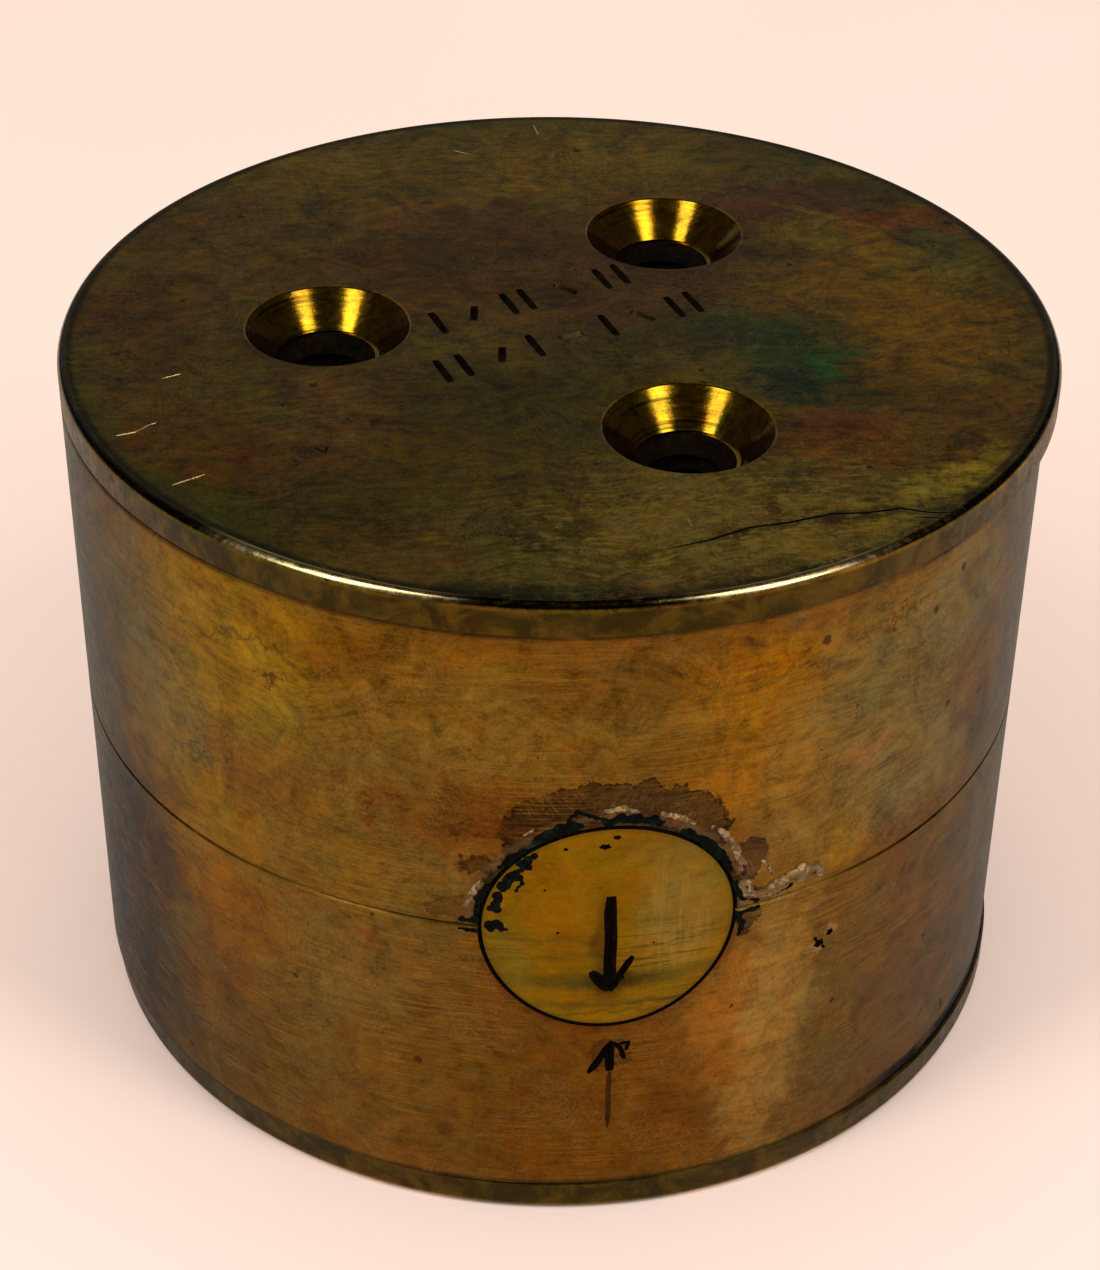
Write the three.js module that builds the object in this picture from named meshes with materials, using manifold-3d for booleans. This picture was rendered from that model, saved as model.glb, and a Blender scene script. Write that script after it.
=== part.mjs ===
// A small round brass flask in which a single dental crown is moulded in plaster.
//
// Two thick brass rings meet at mid-height and leave a narrow round mould chamber on their common axis.
// A flat cover closes each end. A stepped side plug, which carries the model of the tooth stump, enters
// the chamber through a round bore that is cut half in one ring and half in the other. Three guide pins
// keep the rings in line. Three flat-head screws hold the bottom cover. The top cover has the same
// three countersunk holes over tapped holes, with no screws in them.
//
// Millimetres, +Z up. The origin is the centre of the underside, and the side plug faces -Y.

import * as THREE from "three";
import { mergeVertices } from "three/addons/utils/BufferGeometryUtils.js";
import Module from "manifold-3d";

const wasm = await Module();
wasm.setup();

// ---------------------------------------------------------------- driving dimensions

const COVER = {
  topRadius: 31.75, // 2 1/2 inches across
  bottomRadius: 31.4,
  thickness: 2.3,
  edgeRound: 0.55, // of the outer edge
  edgeBreak: 0.15, // of the inner edge
};

const BODY = {
  radius: 31.4,
  halfHeight: 21.3,
  edgeBreak: 0.25,
  jointGap: 0.04, // between faces that rest on each other
};

// Off the top cover's axis, along X: the play in the screw holes lets the pieces sit a little apart.
const SHIFT = { body: -0.35, bottomCover: -0.1 };

const CHAMBER = {
  radius: 10,
  mouthBreak: 0.5,
  grooveDepth: 0.9, // the groove locks the plaster into its half
  grooveWidth: 2.4,
  grooveHeight: 12.5, // of its middle, from the half's outer end
};

const PLUG = {
  radius: 7.62,
  noseRadius: 6,
  clearance: 0.1,
  shoulderAt: 17.5, // from the body's axis to the step
  innerEndAt: 8.2, // from the body's axis to the inner end
  edgeBreak: 0.3,
  cupRadius: 3.2, // shallow cup that anchors the tooth model
  cupDepth: 3,
};

const SCREW = {
  circleRadius: 14.8,
  angles: [175, 55, -65], // degrees from +X, looking at a cover's outer face with the plug at -Y
  mouthRadius: 5.25, // of the countersink
  coneHalfAngle: 41, // degrees, for the usual 82 degree flat head
  tappedRadius: 2.75,
  tappedDepth: 12.5,
  tappedBreak: 0.6,
  shankRadius: 2.6,
  shankLength: 9.5,
  headRadius: 5,
  headSunk: 0.15, // below the cover's outer face
  slotWidth: 1.3,
  slotDepth: 1.25,
};

const PIN = {
  radius: 2,
  clearance: 0.08,
  circleRadius: 22,
  angles: [35, 150, 232], // unequal, so the halves go together one way only
  heldLength: 8, // in the lower half
  freeLength: 6, // above the parting plane
  tipBreak: 0.6,
  holeSpare: 0.8, // of the hole's depth, past the pin's end
};

const SIDES = { body: 72, chamber: 40, plug: 48, screw: 24, pin: 20 };
const PAST = 1; // how far a cutting tool runs past the face that it cuts

// ---------------------------------------------------------------- materials

const brass = (color, roughness) =>
  new THREE.MeshStandardMaterial({ color, roughness, metalness: 1 });

const MATERIAL = {
  topCover: brass(0x54461f, 0.45),
  bottomCover: brass(0x564820, 0.45),
  half: brass(0x8c6430, 0.45),
  plug: brass(0xa88a30, 0.4),
  pin: brass(0xb08f4a, 0.3),
  screw: brass(0x9a7d3a, 0.35),
};

// ---------------------------------------------------------------- making solids

const radians = THREE.MathUtils.degToRad;

// A closed three.js geometry as a solid that can be cut and joined.
function solid(geometry) {
  const bare = geometry.clone();
  bare.deleteAttribute("normal");
  bare.deleteAttribute("uv");
  const merged = mergeVertices(bare, 1e-4);
  return new wasm.Manifold(
    new wasm.Mesh({
      numProp: 3,
      vertProperties: new Float32Array(merged.attributes.position.array),
      triVerts: new Uint32Array(merged.index.array),
    }),
  );
}

// A solid as a named mesh.
function node(name, made, material) {
  const { vertProperties, triVerts } = made.getMesh();
  const geometry = new THREE.BufferGeometry();
  geometry.setAttribute("position", new THREE.BufferAttribute(new Float32Array(vertProperties), 3));
  geometry.setIndex(new THREE.BufferAttribute(new Uint32Array(triVerts), 1));
  geometry.computeVertexNormals();
  const mesh = new THREE.Mesh(geometry, material);
  mesh.name = name;
  return mesh;
}

// A profile of [radius, height] points, from the axis up and back to the axis, turned about Z.
function turned(profile, sides) {
  const points = profile.map(([radius, height]) => new THREE.Vector2(radius, height));
  return new THREE.LatheGeometry(points, sides).rotateX(Math.PI / 2);
}

// The same, laid down so that its +Z end points to -Y.
const turnedToFront = (profile, sides) => turned(profile, sides).rotateX(Math.PI / 2);

// The points of a quarter round from a wall up to the face above it.
function quarterRound(radius, top, round, steps = 3) {
  return Array.from({ length: steps + 1 }, (_, i) => {
    const angle = ((Math.PI / 2) * i) / steps;
    return [radius - round * (1 - Math.cos(angle)), top - round * (1 - Math.sin(angle))];
  });
}

// Cuts the same tool out at each of several places.
const cutAt = (made, tool, places) =>
  places.reduce((left, [x, y]) => left.subtract(solid(tool.clone().translate(x, y, 0))), made);

// Places on a circle about Z, at angles in degrees.
const onCircle = (radius, angles) =>
  angles.map((angle) => [radius * Math.cos(radians(angle)), radius * Math.sin(radians(angle))]);

const mirroredInX = (places) => places.map(([x, y]) => [-x, y]);
const shiftedInX = (places, shift) => places.map(([x, y]) => [x + shift, y]);

// As seen on a cover's outer face, and from inside the flask.
const screwPlaces = onCircle(SCREW.circleRadius, SCREW.angles);
const screwPlacesInside = mirroredInX(screwPlaces);
const pinPlaces = onCircle(PIN.circleRadius, PIN.angles);

// ---------------------------------------------------------------- covers

// A cover lying on z = 0 with its outer face up.
function cover(radius, holePlaces) {
  const blank = turned(
    [
      [0, 0],
      [radius - COVER.edgeBreak, 0],
      [radius, COVER.edgeBreak],
      ...quarterRound(radius, COVER.thickness, COVER.edgeRound),
      [0, COVER.thickness],
    ],
    SIDES.body,
  );
  return cutAt(solid(blank), countersink(), holePlaces);
}

// The tool for one countersunk hole in a cover.
function countersink() {
  const slope = Math.tan(radians(SCREW.coneHalfAngle));
  const throat = SCREW.mouthRadius - COVER.thickness * slope;
  return turned(
    [
      [0, -PAST],
      [throat, -PAST],
      [throat, 0],
      [SCREW.mouthRadius + PAST * slope, COVER.thickness + PAST],
      [0, COVER.thickness + PAST],
    ],
    SIDES.screw,
  );
}

// ---------------------------------------------------------------- body halves

// Either half, lying on z = 0 with its parting face up and its bore for the plug along -Y.
function bodyHalf(pinHolePlaces, pinHoleDepth) {
  const { radius, halfHeight, edgeBreak, jointGap } = BODY;
  const top = halfHeight - jointGap / 2;
  const blank = turned(
    [
      [0, 0],
      [radius - edgeBreak, 0],
      [radius, edgeBreak],
      [radius, top - edgeBreak / 2],
      [radius - edgeBreak / 2, top],
      [0, top],
    ],
    SIDES.body,
  );
  const bored = solid(blank).subtract(solid(chamberTool())).subtract(solid(plugBoreTool()));
  const tapped = cutAt(bored, tappedHoleTool(), screwPlacesInside);
  return cutAt(tapped, pinHoleTool(pinHoleDepth), pinHolePlaces);
}

// The mould chamber, right through a half, with its locking groove.
function chamberTool() {
  const { radius, mouthBreak, grooveDepth, grooveWidth, grooveHeight } = CHAMBER;
  const grooveLow = grooveHeight - grooveWidth / 2;
  const grooveHigh = grooveHeight + grooveWidth / 2;
  return turned(
    [
      [0, -PAST],
      [radius + mouthBreak + PAST, -PAST],
      [radius, mouthBreak],
      [radius, grooveLow - grooveDepth],
      [radius + grooveDepth, grooveLow],
      [radius + grooveDepth, grooveHigh],
      [radius, grooveHigh + grooveDepth],
      [radius, BODY.halfHeight + PAST],
      [0, BODY.halfHeight + PAST],
    ],
    SIDES.chamber,
  );
}

// The stepped bore for the plug, on the parting plane.
function plugBoreTool() {
  const { radius, noseRadius, clearance, shoulderAt } = PLUG;
  return turnedToFront(
    [
      [0, 0],
      [noseRadius + clearance, 0],
      [noseRadius + clearance, shoulderAt - clearance],
      [radius + clearance, shoulderAt - clearance],
      [radius + clearance, BODY.radius + PAST],
      [0, BODY.radius + PAST],
    ],
    SIDES.plug,
  ).translate(0, 0, BODY.halfHeight);
}

// A tapped hole up from the outer end, with a drill point.
function tappedHoleTool() {
  const { tappedRadius, tappedDepth, tappedBreak } = SCREW;
  const drillPoint = 0.6 * tappedRadius;
  return turned(
    [
      [0, -PAST],
      [tappedRadius + tappedBreak + PAST, -PAST],
      [tappedRadius, tappedBreak],
      [tappedRadius, tappedDepth],
      [0, tappedDepth + drillPoint],
    ],
    SIDES.screw,
  );
}

// A flat-bottomed hole down from the parting face.
function pinHoleTool(depth) {
  const radius = PIN.radius + PIN.clearance;
  return turned(
    [
      [0, BODY.halfHeight - depth],
      [radius, BODY.halfHeight - depth],
      [radius, BODY.halfHeight + PAST],
      [0, BODY.halfHeight + PAST],
    ],
    SIDES.pin,
  );
}

// ---------------------------------------------------------------- plug, pins and screws

// The side plug, centred on z = 0. Its outer face follows the body's wall.
function sidePlug() {
  const { radius, noseRadius, shoulderAt, innerEndAt, edgeBreak, cupRadius, cupDepth } = PLUG;
  const blank = turnedToFront(
    [
      [0, innerEndAt],
      [noseRadius - edgeBreak, innerEndAt],
      [noseRadius, innerEndAt + edgeBreak],
      [noseRadius, shoulderAt],
      [radius - edgeBreak, shoulderAt],
      [radius, shoulderAt + edgeBreak],
      [radius, BODY.radius + PAST],
      [0, BODY.radius + PAST],
    ],
    SIDES.plug,
  );
  const wall = turned(
    [
      [0, -radius - PAST],
      [BODY.radius, -radius - PAST],
      [BODY.radius, radius + PAST],
      [0, radius + PAST],
    ],
    SIDES.body,
  );
  const cup = turnedToFront(
    [
      [0, innerEndAt - PAST],
      [cupRadius, innerEndAt - PAST],
      [cupRadius, innerEndAt + cupDepth],
      [0, innerEndAt + cupDepth],
    ],
    SIDES.screw,
  );
  return solid(blank).intersect(solid(wall)).subtract(solid(cup));
}

// A guide pin standing on z = 0.
function guidePin() {
  const { radius, heldLength, freeLength, tipBreak } = PIN;
  const length = heldLength + freeLength;
  return solid(
    turned(
      [
        [0, 0],
        [radius - tipBreak / 2, 0],
        [radius, tipBreak / 2],
        [radius, length - tipBreak],
        [radius - tipBreak, length],
        [0, length],
      ],
      SIDES.pin,
    ),
  );
}

// A slotted flat-head screw pointing up, with its head's face on z = 0.
function flatHeadScrew() {
  const { headRadius, shankRadius, shankLength, coneHalfAngle, slotWidth, slotDepth } = SCREW;
  const neck = (headRadius - shankRadius) / Math.tan(radians(coneHalfAngle));
  const tip = shankRadius / 3;
  const blank = turned(
    [
      [0, 0],
      [headRadius, 0],
      [shankRadius, neck],
      [shankRadius, neck + shankLength - tip],
      [shankRadius - tip, neck + shankLength],
      [0, neck + shankLength],
    ],
    SIDES.screw,
  );
  const slot = new THREE.BoxGeometry(2 * headRadius + PAST, slotWidth, 2 * slotDepth);
  return solid(blank).subtract(solid(slot));
}

// ---------------------------------------------------------------- assembly

const partingHeight = COVER.thickness + BODY.halfHeight;
const totalHeight = 2 * partingHeight;

const flask = new THREE.Group();

// Everything on the body's own axis.
const onBodyAxis = new THREE.Group();
onBodyAxis.position.x = SHIFT.body;
flask.add(onBodyAxis);

const lowerHalf = node(
  "lower_half",
  bodyHalf(pinPlaces, PIN.heldLength + PIN.holeSpare),
  MATERIAL.half,
);
lowerHalf.position.z = COVER.thickness;
onBodyAxis.add(lowerHalf);

// The upper half is the same turning, turned over about Y.
const upperHalf = node(
  "upper_half",
  bodyHalf(mirroredInX(pinPlaces), PIN.freeLength + PIN.holeSpare),
  MATERIAL.half,
);
upperHalf.rotation.y = Math.PI;
upperHalf.position.z = totalHeight - COVER.thickness;
onBodyAxis.add(upperHalf);

const plug = node("side_plug", sidePlug(), MATERIAL.plug);
plug.position.z = partingHeight;
onBodyAxis.add(plug);

pinPlaces.forEach(([x, y], i) => {
  const pin = node(`guide_pin_${i + 1}`, guidePin(), MATERIAL.pin);
  pin.position.set(x, y, partingHeight - PIN.heldLength);
  onBodyAxis.add(pin);
});

screwPlacesInside.forEach(([x, y], i) => {
  const screw = node(`bottom_screw_${i + 1}`, flatHeadScrew(), MATERIAL.screw);
  screw.position.set(x, y, SCREW.headSunk);
  screw.rotation.z = radians([20, 75, -40][i]);
  onBodyAxis.add(screw);
});

const topCover = node("top_cover", cover(COVER.topRadius, screwPlaces), MATERIAL.topCover);
topCover.position.z = totalHeight - COVER.thickness;
flask.add(topCover);

// The bottom cover is a cover turned over about Y, with its holes on the body's axis.
const bottomCover = node(
  "bottom_cover",
  cover(COVER.bottomRadius, shiftedInX(screwPlaces, SHIFT.bottomCover - SHIFT.body)),
  MATERIAL.bottomCover,
);
bottomCover.rotation.y = Math.PI;
bottomCover.position.set(SHIFT.bottomCover, 0, COVER.thickness);
flask.add(bottomCover);

export default flask;
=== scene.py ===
"""A small tarnished brass flask for moulding one dental crown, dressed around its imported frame.

Every size below is in millimetres unless it says otherwise, and the meshes are written in metres.
Two flat coordinate systems serve the surfaces: a cover's own plan (x, y), and the body's wall unrolled
to (arc, height), where arc runs along the wall from the middle of the side plug towards +X.
"""

from __future__ import annotations

import logging
import math
from collections.abc import Callable, Iterable, Sequence
from dataclasses import dataclass, field
from enum import Enum

import bmesh
import bpy
from mathutils import Matrix, Vector, noise

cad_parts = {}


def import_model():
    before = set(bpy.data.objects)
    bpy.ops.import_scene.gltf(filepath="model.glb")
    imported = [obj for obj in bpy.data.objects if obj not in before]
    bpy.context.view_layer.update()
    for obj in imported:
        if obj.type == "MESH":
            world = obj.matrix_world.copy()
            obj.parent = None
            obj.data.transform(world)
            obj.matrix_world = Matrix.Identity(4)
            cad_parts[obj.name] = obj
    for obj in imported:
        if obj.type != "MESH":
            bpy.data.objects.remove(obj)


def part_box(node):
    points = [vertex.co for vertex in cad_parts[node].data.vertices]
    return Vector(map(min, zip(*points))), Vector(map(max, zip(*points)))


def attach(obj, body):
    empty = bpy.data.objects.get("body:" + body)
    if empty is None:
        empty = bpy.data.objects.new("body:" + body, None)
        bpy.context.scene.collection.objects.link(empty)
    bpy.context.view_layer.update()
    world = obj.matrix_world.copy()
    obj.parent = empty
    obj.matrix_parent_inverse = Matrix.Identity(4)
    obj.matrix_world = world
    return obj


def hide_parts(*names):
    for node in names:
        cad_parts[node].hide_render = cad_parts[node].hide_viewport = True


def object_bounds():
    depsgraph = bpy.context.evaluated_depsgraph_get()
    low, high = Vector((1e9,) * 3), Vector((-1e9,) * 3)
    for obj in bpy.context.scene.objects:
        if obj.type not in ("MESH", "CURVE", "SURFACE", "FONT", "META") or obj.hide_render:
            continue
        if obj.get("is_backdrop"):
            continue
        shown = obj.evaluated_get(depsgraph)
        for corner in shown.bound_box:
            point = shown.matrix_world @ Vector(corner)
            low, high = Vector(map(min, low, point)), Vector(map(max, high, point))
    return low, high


LOG = logging.getLogger("flask")
MM = 0.001
POINT_RADIUS = 1e-6
MERGE_METRES = 2e-7
NORMAL_WEIGHT = 60
BORE_SIDES, HOLE_SIDES, DRILL_SIDES, PIN_SIDES, SCREW_SIDES, RIM_SIDES = 192, 120, 48, 64, 80, 144
Point = tuple[float, float]
Colour = tuple[float, float, float, float]


def srgb(text: str) -> Colour:
    """Turn a six-digit display colour into a linear one.

    Args:
        text: Red, green and blue as hexadecimal, such as "a08030".

    Returns:
        Linear red, green, blue and an alpha of 1.
    """
    channels = [int(text[i : i + 2], 16) / 255 for i in (0, 2, 4)]
    linear = [c / 12.92 if c <= 0.04045 else ((c + 0.055) / 1.055) ** 2.4 for c in channels]
    return (linear[0], linear[1], linear[2], 1.0)


class Body(Enum):
    """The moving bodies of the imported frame."""

    LOWER = "lower"
    UPPER = "upper"
    LID = "lid"
    PLUG = "plug"


# ---------------------------------------------------------------- places taken from the frame


@dataclass(frozen=True)
class Turned:
    """The axis, radius and ends of a round node, in millimetres."""

    x: float
    y: float
    radius: float
    low: float
    high: float

    @classmethod
    def of(cls, node: str) -> Turned:
        """Read a round upright node's place from the frame."""
        low, high = (Vector(corner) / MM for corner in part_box(node))
        return cls((low.x + high.x) / 2, (low.y + high.y) / 2, (high.x - low.x) / 2, low.z, high.z)


@dataclass(frozen=True)
class Wall:
    """The body's outer wall, which maps flat places (arc, height) to space."""

    x: float
    radius: float
    low: float
    high: float
    parting: float

    @classmethod
    def measured(cls) -> Wall:
        """Read the wall from the two halves.

        Returns:
            The wall.
        """
        lower, upper = Turned.of("lower_half"), Turned.of("upper_half")
        parting = (lower.high + upper.low) / 2
        return cls(lower.x, lower.radius, lower.low, upper.high, parting)

    def point(self, arc: float, height: float, lift: float = 0.0) -> Vector:
        """Return the point over a flat place, lifted off the wall.

        Args:
            arc: Place along the wall.
            height: Height.
            lift: Distance off the wall.

        Returns:
            The point.
        """
        angle = arc / self.radius
        reach = self.radius + lift
        return Vector((self.x + reach * math.sin(angle), -reach * math.cos(angle), height))


# ---------------------------------------------------------------- meshes


def quarter(centre: Point, radius: float, start: float, end: float, steps: int = 8) -> list[Point]:
    """Return points on an arc of a profile.

    Args:
        centre: Centre of the arc as (radius, height).
        radius: Radius of the arc.
        start: First angle in degrees, 0 outward and 90 up.
        end: Last angle in degrees.
        steps: Number of segments.

    Returns:
        The points, both ends included.
    """
    angles = [math.radians(start + (end - start) * i / steps) for i in range(steps + 1)]
    return [(centre[0] + radius * math.cos(a), centre[1] + radius * math.sin(a)) for a in angles]


@dataclass
class Profile:
    """A turned profile, point by point, with a material slot for each stretch."""

    points: list[Point] = field(default_factory=list)
    slots: list[int] = field(default_factory=list)

    def run(self, points: Iterable[Point], slot: int = 0) -> Profile:
        """Add points, each reached by a stretch with the given material slot.

        Args:
            points: The points as (radius, height).
            slot: The material slot.

        Returns:
            This profile.
        """
        for point in points:
            self.points.append(point)
            self.slots.append(slot)
        return self

    def lathe(self, sides: int, closed: bool = False) -> bmesh.types.BMesh:
        """Turn the profile about Z.

        Args:
            sides: Number of segments around.
            closed: True for a ring whose profile meets its own start, False for one between poles.

        Returns:
            A closed mesh with its faces outwards.
        """
        mesh = bmesh.new()
        rings = []
        for radius, height in self.points:
            count = sides if radius > POINT_RADIUS else 1
            angles = [2 * math.pi * i / sides for i in range(count)]
            rings.append(
                [mesh.verts.new((radius * math.sin(a), -radius * math.cos(a), height)) for a in angles]
            )
        pairs = list(zip(range(len(rings) - 1), range(1, len(rings))))
        if closed:
            pairs.append((len(rings) - 1, 0))
        for a, b in pairs:
            slot = self.slots[b]
            for i in range(sides):
                j = (i + 1) % sides
                first, last = rings[a], rings[b]
                corners = [first[i % len(first)], first[j % len(first)]]
                corners += [last[j % len(last)], last[i % len(last)]]
                unique = list(dict.fromkeys(corners))
                if len(unique) > 2:
                    mesh.faces.new(unique).material_index = slot
        bmesh.ops.recalc_face_normals(mesh, faces=mesh.faces)
        return mesh


def finish_mesh(mesh: bmesh.types.BMesh, name: str, materials: Sequence[bpy.types.Material],
                place: Matrix | None = None) -> bpy.types.Object:
    """Turn a working mesh in millimetres into an object at the origin, in metres.

    Args:
        mesh: The working mesh, which is freed.
        name: Name of the object.
        materials: Its material slots.
        place: Where to put it, in millimetres.

    Returns:
        The new object.
    """
    bmesh.ops.transform(mesh, matrix=Matrix.Scale(MM, 4) @ (place or Matrix()), verts=mesh.verts)
    data = bpy.data.meshes.new(name)
    mesh.to_mesh(data)
    mesh.free()
    for material in materials:
        data.materials.append(material)
    made = bpy.data.objects.new(name, data)
    bpy.context.scene.collection.objects.link(made)
    return made


def bake(made: bpy.types.Object) -> bpy.types.Object:
    """Turn an object's modifiers into its plain mesh.

    Args:
        made: The object.

    Returns:
        The same object.
    """
    graph = bpy.context.evaluated_depsgraph_get()
    graph.update()
    result = bpy.data.meshes.new_from_object(
        made.evaluated_get(graph), preserve_all_data_layers=True, depsgraph=graph
    )
    made.modifiers.clear()
    old, made.data = made.data, result
    result.name = made.name
    bpy.data.meshes.remove(old)
    return made


def discard(made: bpy.types.Object) -> None:
    """Remove a helper object and its mesh.

    Args:
        made: The object.
    """
    data = made.data
    bpy.data.objects.remove(made)
    bpy.data.meshes.remove(data)


def combine(made: bpy.types.Object, tool: bpy.types.Object, operation: str = "DIFFERENCE") -> None:
    """Cut or trim an object with a tool, which is used up. Cut faces take the tool's material.

    Args:
        made: The object.
        tool: The tool.
        operation: DIFFERENCE, UNION or INTERSECT.
    """
    modifier = made.modifiers.new("cut", "BOOLEAN")
    modifier.operation = operation
    modifier.solver = "EXACT"
    modifier.material_mode = "TRANSFER"
    modifier.object = tool
    bake(made)
    discard(tool)


def smooth(made: bpy.types.Object, limit: float = 32.0) -> bpy.types.Object:
    """Shade an object smooth, except across edges sharper than a limit in degrees.

    Args:
        made: The object.
        limit: The limit.

    Returns:
        The same object.
    """
    mesh = bmesh.new()
    mesh.from_mesh(made.data)
    bmesh.ops.remove_doubles(mesh, verts=mesh.verts, dist=MERGE_METRES)
    for face in mesh.faces:
        face.smooth = True
    for edge in mesh.edges:
        edge.smooth = edge.is_manifold and edge.calc_face_angle(0.0) < math.radians(limit)
    mesh.to_mesh(made.data)
    mesh.free()
    weigh = made.modifiers.new("weigh", "WEIGHTED_NORMAL")
    weigh.keep_sharp = True
    weigh.weight = NORMAL_WEIGHT
    return bake(made)


def turned_over(at: Vector) -> Matrix:
    """Return the place of a piece turned over about Y."""
    return Matrix.Translation(at) @ Matrix.Rotation(math.pi, 4, "Y")


def to_front(height: float, x: float) -> Matrix:
    """Return the place that lays a piece made along +Z out along -Y."""
    return Matrix.Translation((x, 0, height)) @ Matrix.Rotation(math.pi / 2, 4, "X")


Surface = Callable[[float, float, float], Vector]


@dataclass(frozen=True)
class Stroke:
    """A cut along a line, with a V section that fades at its ends."""

    points: tuple[Point, ...]
    width: float
    depth: float
    ends: float = 0.35
    overshoot: float = 0.06

    def add_to(self, mesh: bmesh.types.BMesh, surface: Surface, step: float = 0.25) -> None:
        """Add the cutting tool for this stroke to a mesh.

        Args:
            mesh: The mesh that collects the tools.
            surface: Maps a flat place and a lift to space.
            step: Longest distance between sections.
        """
        path = self._spread(step)
        sections = []
        for i, (x, y) in enumerate(path):
            before, after = path[max(i - 1, 0)], path[min(i + 1, len(path) - 1)]
            along = Vector((after[0] - before[0], after[1] - before[1])).normalized()
            ends = min(i, len(path) - 1 - i) / max(len(path) - 1, 1) * 2
            size = self.ends + (1 - self.ends) * min(1.0, ends * 3)
            half = self.width / 2 * size * (1 + self.overshoot / (self.depth * size))
            corners = [(-half, self.overshoot), (half, self.overshoot), (0.0, -self.depth * size)]
            sections.append(
                [mesh.verts.new(surface(x - along.y * s, y + along.x * s, h)) for s, h in corners]
            )
        faces = [mesh.faces.new(sections[0]), mesh.faces.new(sections[-1])]
        for first, last in zip(sections, sections[1:]):
            for i in range(3):
                j = (i + 1) % 3
                faces.append(mesh.faces.new((first[i], first[j], last[j], last[i])))
        bmesh.ops.recalc_face_normals(mesh, faces=faces)

    def _spread(self, step: float) -> list[Point]:
        """Return the path with extra points, so that it follows a curved surface.

        Args:
            step: Longest distance between points.

        Returns:
            The points.
        """
        path = [self.points[0]]
        for (x0, y0), (x1, y1) in zip(self.points, self.points[1:]):
            count = max(1, math.ceil(math.hypot(x1 - x0, y1 - y0) / step))
            path += [(x0 + (x1 - x0) * i / count, y0 + (y1 - y0) * i / count) for i in range(1, count + 1)]
        return path


def engrave(made: bpy.types.Object, strokes: Sequence[Stroke], surface: Surface,
            material: bpy.types.Material) -> None:
    """Cut strokes into an object, one at a time because they may cross.

    Args:
        made: The object.
        strokes: The strokes.
        surface: Maps a flat place and a lift to space.
        material: Material of the cut faces.
    """
    for stroke in strokes:
        tool = bmesh.new()
        stroke.add_to(tool, surface)
        combine(made, finish_mesh(tool, "stroke", [material]))


@dataclass(frozen=True)
class Pit:
    """A small round-bottomed corrosion pit."""

    x: float
    y: float
    across: float
    down: float
    depth: float = 0.18
    raggedness: float = 0.18
    lobes: int = 5

    def add_to(self, mesh: bmesh.types.BMesh, surface: Surface) -> None:
        """Add the cutting tool for this pit to a mesh.

        Args:
            mesh: The mesh that collects the tools.
            surface: Maps a flat place and a lift to space.
        """
        made = bmesh.ops.create_icosphere(mesh, subdivisions=3, radius=1.0)
        for vert in made["verts"]:
            x, y, h = vert.co
            ragged = 1 + self.raggedness * math.sin(self.lobes * math.atan2(y, x) + 7 * self.x)
            flat = (self.x + x * self.across * ragged, self.y + y * self.down * ragged)
            vert.co = surface(*flat, h * self.depth)


def pits_tool(pits: Sequence[Pit], surface: Surface, material: bpy.types.Material) -> bpy.types.Object:
    """Make one tool that cuts several separate pits.

    Args:
        pits: The pits.
        surface: Maps a flat place and a lift to space.
        material: Material of the cut faces.

    Returns:
        The tool.
    """
    mesh = bmesh.new()
    for pit in pits:
        pit.add_to(mesh, surface)
    return finish_mesh(mesh, "pits", [material])


def rim_tool(wall: Wall, radius: float, leg: float, material: bpy.types.Material) -> bpy.types.Object:
    """Make the tool that breaks the edge where a round bore meets the body's wall.

    Args:
        wall: The wall.
        radius: Radius of the bore.
        leg: Width of the broken edge.
        material: Material of the cut faces.

    Returns:
        A closed ring with a diamond section that follows the edge.
    """
    mesh = bmesh.new()
    rings = []
    for i in range(RIM_SIDES):
        angle = 2 * math.pi * i / RIM_SIDES
        ring = []
        for out, lift in ((leg, 0.0), (0.0, leg), (-leg, 0.0), (0.0, -leg)):
            across = (radius + out) * math.sin(angle)
            arc = wall.radius * math.asin(across / wall.radius)
            height = wall.parting + (radius + out) * math.cos(angle)
            ring.append(mesh.verts.new(wall.point(arc, height, lift)))
        rings.append(ring)
    for i, ring in enumerate(rings):
        after = rings[(i + 1) % RIM_SIDES]
        for j in range(4):
            k = (j + 1) % 4
            mesh.faces.new((ring[j], ring[k], after[k], after[j]))
    bmesh.ops.recalc_face_normals(mesh, faces=mesh.faces)
    return finish_mesh(mesh, "rim", [material])


# ---------------------------------------------------------------- node trees


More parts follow.
